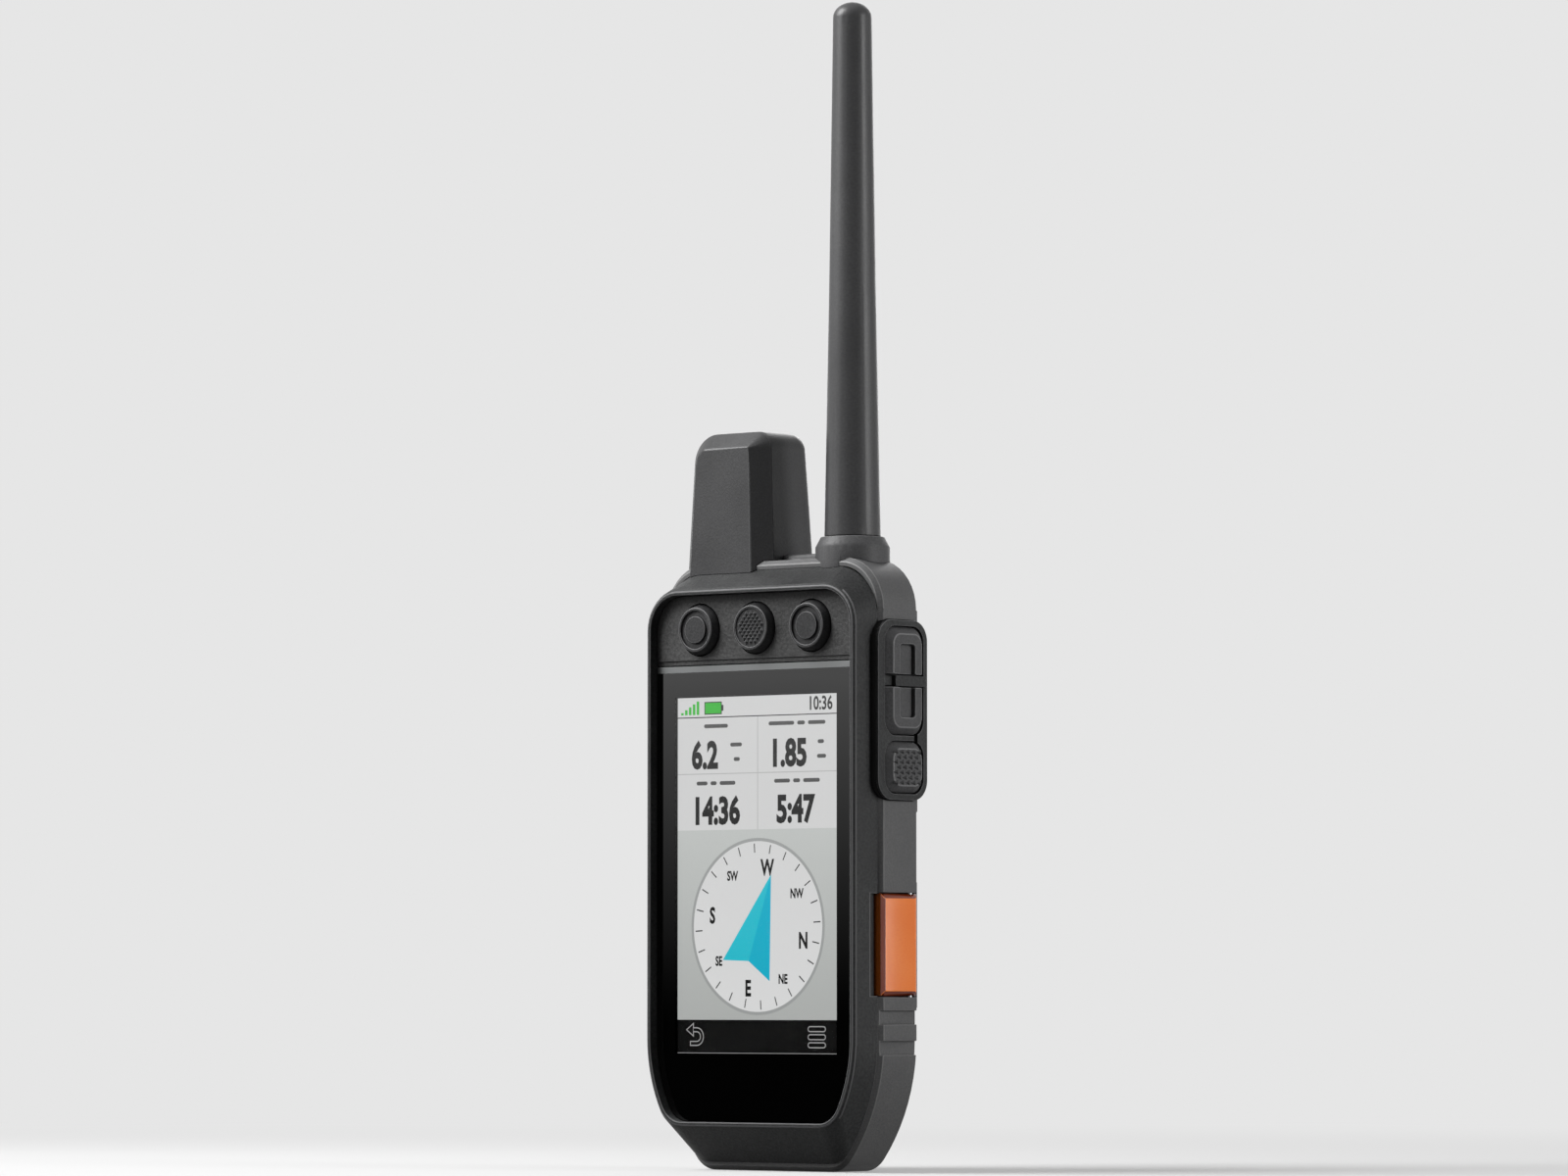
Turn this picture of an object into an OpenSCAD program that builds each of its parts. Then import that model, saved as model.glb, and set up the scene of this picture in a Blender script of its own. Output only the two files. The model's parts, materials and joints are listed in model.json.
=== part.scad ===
// Handheld satellite navigation unit: a three-shell body with a touch screen,
// front buttons, side keys, a hinged emergency flap and two antennas.
// X points to the right, Y to the back and Z up. The origin is on the bottom face.

/* [Body] */
// Width over the side band
band_w = 63.5; // [61:0.5:68]
// Height of the body without its antennas
body_h = 134; // [132:0.5:140]
// Depth from the middle plane to the front rim
rim_d = 12; // [11.8:0.1:14]
// Depth from the middle plane to the front seam of the side band
front_seam_d = 4.7; // [4.4:0.1:5]
// Depth from the middle plane to the rear seam of the side band
rear_seam_d = 7.4; // [7:0.1:8]
// Depth from the middle plane to the flat back
back_d = 18.5; // [18.2:0.1:20]
// Wall thickness of the shells
wall = 2; // [1.8:0.1:2.2]
// Radius of the band's upper corners
top_r = 11.5; // [9:0.5:13]
// Height where the sides start to taper in
taper_z = 29; // [27:0.5:32]
// Radius of the band's tapered sides
taper_r = 42; // [40:1:50]
// Radius of the band's lower corners
foot_r = 7; // [5:0.5:9]
// Chamfer on the band's front edge
band_edge = 1; // [0.5:0.1:1.2]
// Width of a grip groove in the band
grip_h = 3; // [2:0.1:3.4]
// Depth of a grip groove
grip_d = 0.7; // [0.5:0.05:0.75]
// Height of the lower grip groove
grip_z = 25.5; // [24:0.5:26]
// Spacing of the grip grooves
grip_pitch = 6.6; // [6:0.1:7]

/* [Front] */
// Distance from the band's side to the rim's side
rim_step = 1.35; // [1:0.05:1.7]
// Distance from the body's top to the rim's top
rim_drop = 5.9; // [5.5:0.1:6.5]
// Height of the rim's lower edge
rim_foot_z = 9.2; // [8.8:0.1:10]
// Radius of the rim's upper corners
rim_top_r = 9; // [8:0.5:11]
// Radius of the rim's tapered sides
rim_taper_r = 34.5; // [33:0.5:40]
// Radius of the rim's lower corners
rim_foot_r = 7.5; // [6:0.5:9]
// Width of the rim's face
rim_face = 1.4; // [1.2:0.1:1.8]
// Chamfer outside the rim's face
rim_edge = 0.6; // [0.3:0.1:0.8]
// Depth of the sunk front
recess_d = 2.2; // [1.8:0.1:2.4]
// How far the band stands out from the front shell at their seam
band_step = 0.85; // [0.6:0.05:1.1]
// Distance from the body's top to the front shell's top at the seam
seam_drop = 2; // [1.6:0.1:2.4]
// Height of the front shell's lower edge at the seam
seam_foot_z = 1.7; // [1.2:0.1:2.4]
// Thickness of the cover glass and of the button panel
glass_t = 1.3; // [1:0.1:1.5]
// Height of the button panel
panel_h = 15.5; // [14.8:0.1:16.5]
// Distance from the rim's side to the active screen
screen_side = 6.9; // [6.4:0.1:7.9]
// Distance from the rim's lower edge to the active screen
screen_foot = 16.5; // [15.5:0.1:18]
// Distance from the panel to the top of the active screen
screen_drop = 7.1; // [6:0.1:8]
// Thickness of the display
lcd_t = 2.4; // [2:0.1:2.6]

/* [Front buttons] */
// Spacing of the round buttons
button_pitch = 16.2; // [15:0.1:16.6]
// Distance from the body's top to the middle of the buttons
button_drop = 15; // [14.9:0.1:15.4]
// Diameter of a button where it leaves the panel
button_d = 11.2; // [10:0.1:11.4]
// Diameter of a button's top
button_top_d = 9.7; // [9:0.1:9.8]
// Height of a button above the panel
button_proud = 1.8; // [1.2:0.1:2]
// Outer diameter of the ring groove or the grip dish in a button
button_dish_d = 8.5; // [8:0.1:8.8]
// Diameter of the disc inside the ring groove
button_disc_d = 6; // [5:0.1:7]
// Button travel
button_travel = 0.6; // [0.4:0.1:0.7]

/* [Side keys] */
// Depth of the keys' front edge from the middle plane
key_front_d = 4.2; // [4:0.1:4.4]
// Width of the keys across the body's side
key_w = 12.5; // [12:0.1:13]
// Distance from the body's top to the top of the upper key
key_drop = 15.5; // [15:0.1:16.5]
// Height of the pair of scroll keys
pair_h = 23.4; // [22:0.1:24]
// Height of the web between the scroll keys
web_h = 2.8; // [2.4:0.1:3.2]
// Height of the power key
power_h = 11.1; // [10.5:0.1:11.5]
// Gap between the scroll keys and the power key
power_gap = 1.6; // [1.5:0.1:2]
// Radius of the keys' corners
key_r = 3.2; // [2:0.1:3.5]
// Width of the slope around a key's face
key_edge = 1.5; // [1:0.1:1.8]
// How far the keys stand out from the band
key_proud = 2.05; // [1.8:0.05:2.4]
// Depth of the window in the scroll keys
window_d = 1; // [0.6:0.1:1.2]
// Border around the window in the scroll keys
window_border = 2.2; // [1.8:0.1:2.6]
// Key travel
key_travel = 0.5; // [0.3:0.1:0.5]
// Front border of the key surround
bezel_front = 2.3; // [2:0.1:2.5]
// Upper, lower and rear border of the key surround
bezel_border = 1.3; // [1:0.1:1.6]
// How far the key surround stands out from the band
bezel_proud = 1.05; // [0.8:0.05:1.3]
// Thickness of the key surround
bezel_t = 0.7; // [0.6:0.1:0.9]
// Radius of the key surround's corners
bezel_r = 4.5; // [3.5:0.1:5]

/* [Emergency flap] */
// Height of the flap's lower edge
flap_z = 38.3; // [37:0.1:39]
// Height of the flap
flap_h = 22.2; // [20:0.1:23]
// Depth of the flap's front edge from the middle plane
flap_front_d = 4.2; // [3.8:0.1:4.4]
// How far the flap stands out from the band
flap_proud = 0.45; // [0.3:0.05:0.6]
// Chamfer around the flap's face
flap_edge = 1; // [0.6:0.1:1.1]
// Thickness of the flap's plate
flap_t = 1.3; // [1.1:0.1:1.4]
// Diameter of the flap's hinge pin
pin_d = 1.2; // [1:0.1:1.3]
// Distance from the flap's rear edge to the pin
pin_in = 1.55; // [1.5:0.05:1.7]
// Depth of the finger scoop in front of the flap
scoop_d = 1.5; // [1:0.1:1.6]
// Width of the finger scoop
scoop_w = 2.6; // [2:0.1:3]
// Width of the button under the flap
sos_w = 6.4; // [5:0.1:6.6]
// Height of the button under the flap
sos_h = 12; // [10:0.1:13]

/* [Antennas] */
// Width of the satellite antenna housing
dome_w = 25.2; // [23:0.1:26]
// Distance from the band's left side to the middle of that housing
dome_in = 17.9; // [16.5:0.05:18.3]
// Depth of its front face from the middle plane
dome_front_d = 5.7; // [5:0.1:6]
// Depth of its back face from the middle plane
dome_back_d = 13.8; // [13.2:0.1:14.2]
// Height of its top above the body
dome_h = 29; // [24:0.5:34]
// Chamfer around its front face
dome_edge = 3.65; // [3:0.05:3.8]
// Radius of its upper left edge
dome_left_r = 6.6; // [5:0.1:8]
// Radius of its upper right edge
dome_right_r = 3.9; // [3:0.1:5]
// Radius around its back
dome_back_r = 4.2; // [3.6:0.1:5]
// Draft of its sides from the body's top up
dome_draft = 1.3; // [0.8:0.1:1.5]
// Distance from the band's right side to the whip antenna's axis
whip_in = 14.55; // [13.5:0.05:15]
// Depth of the whip antenna's axis behind the middle plane
whip_back_d = 3; // [2:0.1:4]
// Diameter of the whip's collar
collar_d = 16.4; // [15:0.1:17]
// Height of the collar above the body
collar_h = 4.8; // [4:0.1:6]
// Diameter of the whip at its foot
whip_foot_d = 12.4; // [12:0.1:13]
// Diameter of the whip at its bend
whip_mid_d = 10.3; // [9.5:0.1:11]
// Diameter of the whip below its tip
whip_tip_d = 8.56; // [7:0.1:9]
// Height of the bend above the body
whip_mid_h = 59; // [46:1:71]
// Height of the whip's top above the body
whip_h = 122.9; // [106:0.1:141]
// Height of the rounded tip
whip_dome_h = 3.5; // [2:0.1:4]
// Diameter of the screw coupling
coupling_d = 6.4; // [6:0.1:6.6]
// Diameter of the whip's core rod
core_d = 2.4; // [2:0.1:3]

/* [Back] */
// Distance from the band's side to the flat back's side
back_step = 11; // [10:0.05:11.4]
// Distance from the body's top to the back's top
back_drop = 1.4; // [1:0.1:2]
// Radius of the back's upper corners
back_top_r = 4; // [3:0.5:6]
// Radius of the back's tapered sides
back_taper_r = 45; // [42:1:50]
// Height of the back's lower edge
back_foot_z = 5; // [4.5:0.1:5.5]
// Radius of the back's lower corners
back_foot_r = 5; // [4:0.5:6]
// Chamfer around the back
back_edge = 0.8; // [0.4:0.1:1]
// Inset of the battery cover's pocket from the back's edge
pocket_inset = 2; // [1.8:0.1:2.4]
// Depth of the pocket
pocket_d = 2; // [1.8:0.1:2.2]
// Distance from the body's top to the battery cover's top edge
cover_drop = 28; // [27:0.5:30]
// Thickness of the battery cover
cover_t = 2.4; // [2.2:0.1:2.6]
// Distance from the back's side to the battery
battery_side = 4; // [3.8:0.1:5]
// Thickness of the battery
battery_t = 10; // [9:0.1:10.4]
// Height of the battery's lower end
battery_z = 36; // [35:0.5:36.5]
// Width of the mounting spine's head
spine_w = 14; // [12:0.5:16]
// Width of the mounting spine's neck
spine_neck_w = 8; // [6:0.5:10]
// Height of the mounting spine above the cover
spine_d = 2.6; // [2.2:0.1:3]
// Thickness of the spine's head
spine_head_t = 1.4; // [1:0.1:1.6]
// Length of the mounting spine
spine_h = 34; // [28:1:38]
// Distance from the cover's top edge to the spine's upper end
spine_drop = 12; // [8:0.5:14]
// Height of the cover latch's axis
latch_z = 23.5; // [23:0.1:24]
// Diameter of the latch's head
latch_d = 15; // [14:0.1:15.4]
// Diameter of the latch's shaft
latch_shaft_d = 6; // [5:0.1:6.4]
// Length of the latch's locking bar
latch_bar = 10; // [9:0.1:10.4]
// Thickness of the fold-up ring
ring_t = 1.6; // [1.4:0.1:1.7]
// Width of the ring's section
ring_w = 1.8; // [1.4:0.1:2]
// Distance from the body's top to the weather cap's lower edge
cap_drop = 24; // [22:0.5:25]
// Offset of the weather cap's left edge
cap_left = 4; // [3:0.1:5]
// Depth of the weather cap
cap_t = 3; // [2.6:0.1:3.2]
// Width of the charging socket
usb_w = 8; // [7.5:0.1:8.6]
// Height of the charging socket
usb_h = 2.9; // [2.6:0.1:3.2]

/* [Fits] */
// Clearance around pieces that stay put
seat_gap = 0.1; // [0.05:0.01:0.15]
// Clearance around pieces that move
move_gap = 0.25; // [0.2:0.01:0.3]
// Radial clearance of a pin in its bore
pin_gap = 0.05; // [0.03:0.01:0.08]

/* [Hidden] */
$fn = 48;

// Overshoot of a cut past the face it opens
cut = 1;
// Clearance of the antennas' feet over the body's skin
skin = 0.01;
// Steps along each arc of an outline
arc_steps = 10;

// Sides of the body
side_x = band_w / 2;
side_in_x = side_x - wall;
rim_w = band_w - 2 * rim_step;
back_w = band_w - 2 * back_step;
rear_step = 0.55;

// Outlines of the shells, seen from the front:
// width, top, top corner, taper start, taper radius, foot, foot corner
band_o = [band_w, body_h, top_r, taper_z, taper_r, 0, foot_r];
seam_o = [band_w - 2 * band_step, body_h - seam_drop, top_r, taper_z, taper_r, seam_foot_z, foot_r];
rim_o = [rim_w, body_h - rim_drop, rim_top_r, taper_z, rim_taper_r, rim_foot_z, rim_foot_r];
back_o = [back_w, body_h - back_drop, back_top_r, taper_z, back_taper_r, back_foot_z, back_foot_r];

// Lip of the front shell that closes its seam from inside
lip_h = 0.8;
lip_t = 0.8;
lip_root = 0.2;
lip_in = wall + 2 * seat_gap;
// Depth of a rib's root in the wall that carries it
root = 0.5;

// Levels of the front, from the rim to the main board
front_y = -rim_d;
front_seam_y = -front_seam_d;
glass_y = front_y + recess_d;
glass_back_y = glass_y + glass_t;
gasket_t = 0.3;
ledge_y = glass_back_y + gasket_t;
ledge_t = 1.2;
ledge_back_y = ledge_y + ledge_t;
ledge_w = 1.5;
board_y = -3.2;
board_t = 1.2;
board_gap = 0.4;
board_back_y = board_y + board_t;
rim_top_z = body_h - rim_drop;
panel_z = rim_top_z - rim_face - panel_h;
panel_lip_h = 1.1;
panel_lip_d = 0.3;
screen_w = rim_w - 2 * screen_side;
screen_top_z = panel_z - screen_drop;
screen_z = rim_foot_z + screen_foot;
lcd_border = 2.6;
lcd_dent = 0.4;

// Front buttons
button_z = body_h - button_drop;
flange_d = button_d + 1.8;
flange_t = 0.7;
stem_d = 5;
stem_l = 0.5;
groove_d = 0.5;
dish_d = 0.25;
mat_t = 0.6;
mat_post_d = 4;
switch_t = 1.2;
switch_w = 5;
button_back_y = glass_back_y + move_gap + flange_t + stem_l;
mat_y = button_back_y + button_travel + move_gap;

// Side keys
key_y = -key_front_d;
key_back_y = key_y + key_w;
pair_top_z = body_h - key_drop;
pair_z = pair_top_z - pair_h;
web_z = pair_z + (pair_h - web_h) / 2;
web_proud = 0.3;
web_front = 3;
web_notch_y = key_y + 9.5;
web_notch_w = 1.2;
window_r = 0.8;
power_top_z = pair_z - power_gap;
power_z = power_top_z - power_h;
key_face_x = side_x + key_proud;
bezel_x = side_x + bezel_proud;
key_floor_d = 1.05;
key_floor_x = side_x - key_floor_d;
key_play = 0.2;
key_bottom_x = key_floor_x + key_travel + key_play;
bezel_y = key_y - move_gap - bezel_front;
bezel_back_y = key_back_y + move_gap + bezel_border;
bezel_z = power_z - move_gap - bezel_border;
bezel_top_z = pair_top_z + move_gap + bezel_border;
key_mid_y = (key_y + key_back_y) / 2;
key_stem_d = 3.6;
key_collar_d = 5;
key_collar_t = 0.8;
key_collar_x = side_in_x - move_gap - key_collar_t;
bezel_pad_t = 1.5;
side_board_x = side_in_x - band_w / 10;
side_board_t = 1;
side_board_w = 0.64 * key_w;
side_board_foot = 2;
side_switch_x = side_board_x + side_board_t;
side_switch_t = 1.4;
side_switch_w = 0.35 * key_w;
plunger_d = 0.55 * side_switch_w;
plunger_t = 0.3;
post_w = 0.48 * key_w;
post_h = 0.3 * pair_h;
key_stem_x = side_switch_x + side_switch_t + key_travel + key_play;
key_stem_zs = [web_z + web_h + (pair_top_z - web_z - web_h) / 2,
               pair_z + (web_z - pair_z) / 2,
               power_z + power_h / 2];

// Emergency flap
flap_y = -flap_front_d;
flap_top_z = flap_z + flap_h;
flap_x = side_x + flap_proud;
pin_back = 1.2;
pin_y = rear_seam_d - pin_back;
pin_x = flap_x - pin_in;
pin_seat = 0.6;
flap_floor_x = pin_x - pin_in - move_gap;
flap_skirt = 1.2;
flap_room_back_y = pin_y + pin_in + move_gap;
flap_block_t = 1.5;
flap_block_x = flap_floor_x - flap_block_t;
flap_block_rim = 1.8;
knuckle_r = pin_in - 2 * skin;
scoop_lip = 0.4;
sos_y = 0.4;
sos_z = flap_z + flap_h / 2;
sos_r = 2.4;
sos_play = 0.6;
sos_top_x = flap_x - flap_t - sos_play;
sos_flange_t = 0.5;
sos_flange = 0.9;
sos_flange_x = flap_block_x - move_gap - sos_flange_t;

// Rear seal: it runs in the band's wall, and inside the rooms of the flap and the keys,
// which are given as [low, high, floor]
seal_w = 0.6;
seal_t = 0.8;
seal_inset = 0.9;
seal_land = 0.9;
seal_rooms = [[flap_z - move_gap, flap_top_z + move_gap, flap_floor_x],
              [bezel_z - seat_gap, bezel_top_z + seat_gap, key_floor_x]];

// Antennas; the foot is how far a housing is drawn on into the body before the body is cut off it
dome_x = dome_in - side_x;
dome_top_z = body_h + dome_h;
dome_foot = 6;
dome_wall = 2;
corner_min = 0.3;
helix_d = 12;
helix_y = (dome_back_d - dome_front_d) / 2;
helix_base_d = 14.4;
helix_base_h = 1.5;
whip_x = side_x - whip_in;
whip_mid_z = body_h + whip_mid_h;
whip_top_z = body_h + whip_h;
whip_wall = 3.8;
collar_top_z = body_h + collar_h;
collar_foot = 4;
collar_edge_w = 1.2;
collar_edge_h = 2.3;
whip_z = collar_top_z + seat_gap;
coupling_h = 2.2;
coupling_top_z = collar_top_z + coupling_h;
nut_d = 9;
nut_t = 2.4;
nut_gap = 0.2;
nut_end = 2;
o_ring_d = 1.3;
o_ring_r = 4.6;
step_y = 1;
step_h = 1.5;
step_edge = 0.5;

// Back
pocket_y = back_d - pocket_d;
cover_gap = 0.3;
cover_y = pocket_y + cover_gap;
cover_back_y = cover_y + cover_t;
cover_top_z = body_h - cover_drop;
cavity_back_y = 12.5;
bay_wall = 1.5;
bay_gap = 0.5;
bay_drop = 6;
bay_y = pocket_y - bay_gap - battery_t;
bay_z = battery_z - bay_gap;
bay_top_z = cover_top_z - bay_drop;
contacts_h = 3;
contact_xs = [-5, 0, 5];
contact_w = 1.6;
contact_spring = 0.8;
contact_block = [14, 3.9];
battery_w = back_w - 2 * battery_side;
battery_h = bay_top_z - bay_gap - contacts_h - battery_z;
battery_r = 2;
bay_w = battery_w + 2 * bay_gap;
gasket_w = 1;
gasket_out = 0.7;
gasket_groove = 0.5;
spine_z = cover_top_z - spine_drop - spine_h;
spine_r = 2;
spine_root = 0.2;
cap_z = body_h - cap_drop;
cap_notch_z = body_h - 5.6;
cap_notch_d = 1.2;
cap_notch_h = 0.6;
latch_floor_t = 1.4;
latch_clip_d = 11.2;
latch_clip_t = 0.5;
latch_clip_room = 0.8;
latch_floor_y = pocket_y - latch_clip_room;
latch_bar_w = 4;
latch_bar_t = 1.4;
latch_bar_play = 0.2;
latch_bar_y = latch_floor_y - latch_floor_t - latch_bar_play - latch_bar_t;
latch_shoulder_d = latch_clip_d - 1.2;
latch_ledge_t = 0.8;
latch_head_y = cover_y + latch_ledge_t + pin_gap;
latch_head_t = 2.6;
latch_face_y = latch_head_y + latch_head_t;
latch_rim = 0.9;
ring_sink = 0.2;
ring_play = 0.3;
ring_y = latch_face_y - ring_t / 2 - ring_sink;
ring_r = latch_d / 2 - latch_rim - move_gap;
ring_bar_d = ring_t + 0.1;
ring_bar_l = latch_d - 0.8;
cap_floor_y = back_d - cap_t;
cap_pivot_x = cap_left + move_gap;
usb_side_in = 18.75;
usb_x = side_x - usb_side_in;
usb_z = body_h - 14;
usb_sheet = 0.4;
usb_mouth_d = 4.5;
usb_tongue = [5.6, 4.4, 0.7];
usb_tongue_sink = 0.6;
usb_wall_y = cap_floor_y - move_gap;
port_board_x = [usb_x - 9, usb_x + 7];
port_board_h = 12;
port_board_y = cavity_back_y - 4.2;
port_board_back_y = port_board_y + board_t;

// Cans on the main board as [left, foot, width, height], in shares of the body's width and height
shield_t = 2;
shields = [[-0.35, 0.63, 0.41, 0.15], [0.1, 0.64, 0.235, 0.13], [-0.31, 0.33, 0.35, 0.19]];
// Sounder in the same shares
buzzer_x = -0.27 * band_w;
buzzer_z = 0.165 * body_h;
buzzer_d = 0.15 * band_w;
buzzer_t = 3;
buzzer_hole_d = 2;
buzzer_hole_t = 1;

// Screws: two high on the back and two under the battery cover
screw_d = 2.5;
screw_head_d = 4.4;
screw_head_t = 1.8;
screw_head_y = 9.5;
screw_drive_d = 2.2;
screw_drive_t = 1;
screw_boss_d = 5.4;
screw_boss_y = ledge_y + 0.4;
screw_tip_y = ledge_y + 1;
screw_upper = [side_x - 8, body_h - 9];
screw_lower = [back_w / 2 - 9.5, rim_foot_z + 1.8];
screw_spots = [for (s = [screw_upper, screw_lower]) for (m = [-1, 1]) [m * s.x, s.y]];

function arc(c, r, a, b, first = 0) = [for (i = [first:arc_steps])
    let (t = a + (b - a) * i / arc_steps) [c.x + r * cos(t), c.y + r * sin(t)]];

// One shell outline, drawn in by d: round upper corners, sides that taper in and a round foot
function shell_points(o, d = 0) =
    let (w = o[0] / 2 - d,
         top = o[1] - d,
         corner = max(o[2] - d, 0.3),
         taper = o[4] - d,
         foot = o[5] + d,
         toe = max(o[6] - d, 0.3),
         sweep = asin((o[3] - foot - toe) / (taper - toe)),
         toe_x = w - taper + (taper - toe) * cos(sweep),
         half = concat(arc([w - corner, top - corner], corner, 90, 0),
                       arc([w - taper, o[3]], taper, 0, -sweep),
                       arc([toe_x, foot + toe], toe, -sweep, -90, 1)))
    concat(half, [for (i = [len(half) - 1:-1:0]) [-half[i].x, half[i].y]]);

function mix(a, b, t) = [for (i = [0:len(a) - 1]) a[i] + (b[i] - a[i]) * t];

// Flat plate with a shell outline between two depths
module plate(o, y0, y1, d = 0) {
    translate([0, y1, 0]) rotate([90, 0, 0]) linear_extrude(y1 - y0) polygon(shell_points(o, d));
}

// Closed skin over rings of points, each with the same count; a ring runs clockwise
// when it is seen from the first ring towards the last
module skin_over(rings) {
    n = len(rings[0]);
    last = (len(rings) - 1) * n;
    polyhedron(
        points = [for (ring = rings) for (p = ring) p],
        faces = concat(
            [[for (k = [0:n - 1]) k]],
            [[for (k = [n - 1:-1:0]) last + k]],
            [for (i = [0:len(rings) - 2], k = [0:n - 1])
                let (a = i * n + k, b = i * n + (k + 1) % n) [a, a + n, b + n]],
            [for (i = [0:len(rings) - 2], k = [0:n - 1])
                let (a = i * n + k, b = i * n + (k + 1) % n) [a, b + n, b]]));
}

// Skin over shell outlines given as [outline, depth, inset]
module loft(sections) {
    skin_over([for (s = sections) [for (p = shell_points(s[0], s[2])) [p.x, s[1], p.y]]]);
}

module front_outer(grow = 0) {
    loft([[rim_o, front_y, rim_edge - grow],
          [rim_o, front_y + rim_edge, -grow],
          [seam_o, front_seam_y, -grow]]);
}

module mid_outer(grow = 0) {
    loft([[band_o, front_seam_y, band_edge - grow],
          [band_o, front_seam_y + band_edge, -grow],
          [band_o, rear_seam_d, -grow]]);
}

module rear_outer(grow = 0) {
    loft([[band_o, rear_seam_d, rear_step - grow],
          [back_o, back_d - back_edge, -grow],
          [back_o, back_d, back_edge - grow]]);
}

module body_outer(grow) {
    front_outer(grow);
    mid_outer(grow);
    rear_outer(grow);
}

// Placing: local Z points to the front, to the back or to the right
module to_front(x, y, z) { translate([x, y, z]) rotate([90, 0, 0]) children(); }
module to_back(x, y, z) { translate([x, y, z]) rotate([-90, 0, 0]) children(); }
module to_right(x, y, z) { translate([x, y, z]) rotate([0, 90, 0]) children(); }

// A shape drawn in (Y, Z), raised to the right from x0 to x1
module on_side(x0, x1) {
    translate([x0, 0, 0]) rotate([90, 0, 90]) linear_extrude(x1 - x0) children();
}

// A shape drawn in (X, Z), raised to the back from y0 to y1
module on_back(y0, y1) {
    translate([0, y1, 0]) rotate([90, 0, 0]) linear_extrude(y1 - y0) children();
}

module block(low, high) { translate(low) cube(high - low); }

module round_rect(x0, x1, y0, y1, r) {
    translate([x0 + r, y0]) square([x1 - x0 - 2 * r, y1 - y0]);
    translate([x0, y0 + r]) square([x1 - x0, y1 - y0 - 2 * r]);
    for (x = [x0 + r, x1 - r], y = [y0 + r, y1 - r]) translate([x, y]) circle(r);
}

module screw_columns(d, y0, y1) {
    for (s = screw_spots) to_back(s.x, y0, s.y) cylinder(d = d, h = y1 - y0);
}

module key_pocket(gap) {
    on_side(key_floor_x, key_face_x + cut)
        round_rect(bezel_y - gap, bezel_back_y + gap, bezel_z - gap, bezel_top_z + gap, bezel_r + gap);
}

module flap_room() {
    block([flap_floor_x, front_seam_y - cut, flap_z - move_gap],
          [flap_x + cut, flap_room_back_y, flap_top_z + move_gap]);
}

// Shells

module front_housing() color("#2f2f30") {
    cavity_t = (ledge_back_y - front_y) / (front_seam_y - front_y);
    difference() {
        union() {
            difference() {
                front_outer();
                plate(rim_o, front_y - cut, ledge_y, rim_face);
                plate(rim_o, ledge_y - cut, ledge_back_y + cut, rim_face + ledge_w);
                loft([[mix(rim_o, seam_o, cavity_t), ledge_back_y, wall],
                      [seam_o, front_seam_y, wall],
                      [seam_o, front_seam_y + cut, wall]]);
            }
            screw_columns(screw_boss_d, screw_boss_y, board_y);
            seam_lip();
        }
        button_pocket();
        screw_columns(screw_d + 2 * seat_gap, screw_tip_y - 2 * seat_gap, board_y + cut);
        key_pocket(seat_gap);
        finger_scoop();
    }
}

// Lip behind the band's front edge, open where the flap stands
module seam_lip() {
    difference() {
        plate(band_o, front_seam_y - lip_root, front_seam_y + lip_h, lip_in);
        plate(band_o, front_seam_y - cut, front_seam_y + cut, lip_in + lip_t);
        block([flap_block_x, front_seam_y - cut, flap_z - move_gap],
              [side_x, front_seam_y + cut, flap_top_z + move_gap]);
    }
}

// Room behind the panel for the buttons' flanges
module button_pocket() {
    r = flange_d / 2 + move_gap;
    for (side = [-1, 0, 1])
        to_back(side * button_pitch, ledge_y - cut, button_z) cylinder(r = r, h = ledge_t + 2 * cut);
}

module finger_scoop() {
    top_x = rim_w / 2 + cut;
    translate([0, 0, flap_z])
        linear_extrude(flap_h)
            polygon([[top_x + scoop_d, front_seam_y - scoop_w - cut],
                     [top_x - cut + scoop_lip, front_seam_y - scoop_w],
                     [side_x - band_step - scoop_d, front_seam_y + cut],
                     [top_x + scoop_d, front_seam_y + cut]]);
}

module mid_frame() color("#4a4a4b") {
    difference() {
        union() {
            difference() {
                mid_outer();
                plate(band_o, front_seam_y - cut, rear_seam_d + cut, wall);
            }
            block([flap_block_x, front_seam_y + band_edge, flap_z - flap_block_rim],
                  [side_in_x + root, rear_seam_d, flap_top_z + flap_block_rim]);
            seal_ribs(rear_seam_d - seal_t - seal_land, rear_seam_d);
            side_board_post();
            antenna_step();
        }
        seal_course(seat_gap, rear_seam_d - seal_t, rear_seam_d + cut);
        at_whip() translate([0, 0, body_h - wall - cut])
            cylinder(d = coupling_d + 2 * seat_gap, h = wall + 2 * cut);
        key_pocket(seat_gap);
        for (z = key_stem_zs)
            to_right(side_in_x - cut, key_mid_y, z)
                cylinder(d = key_stem_d + 2 * move_gap, h = wall + 2 * cut);
        flap_room();
        on_side(flap_block_x - cut, flap_x) sos_shape(move_gap);
        for (i = [0, 1])
            block([side_x - grip_d, front_seam_y - cut, grip_z + i * grip_pitch],
                  [side_x + cut, rear_seam_d + cut, grip_z + i * grip_pitch + grip_h]);
        for (i = [0, 1])
            block([-side_x - cut, front_seam_y - cut, grip_z + i * grip_pitch],
                  [-side_x + grip_d, rear_seam_d + cut, grip_z + i * grip_pitch + grip_h]);
        pin_hole();
    }
}

// Post on the band's inside that the side board is fixed to
module side_board_post() {
    block([side_switch_x, key_mid_y - post_w / 2, power_z - 2 * post_h],
          [side_in_x + root, key_mid_y + post_w / 2, power_z - post_h]);
}

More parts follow.
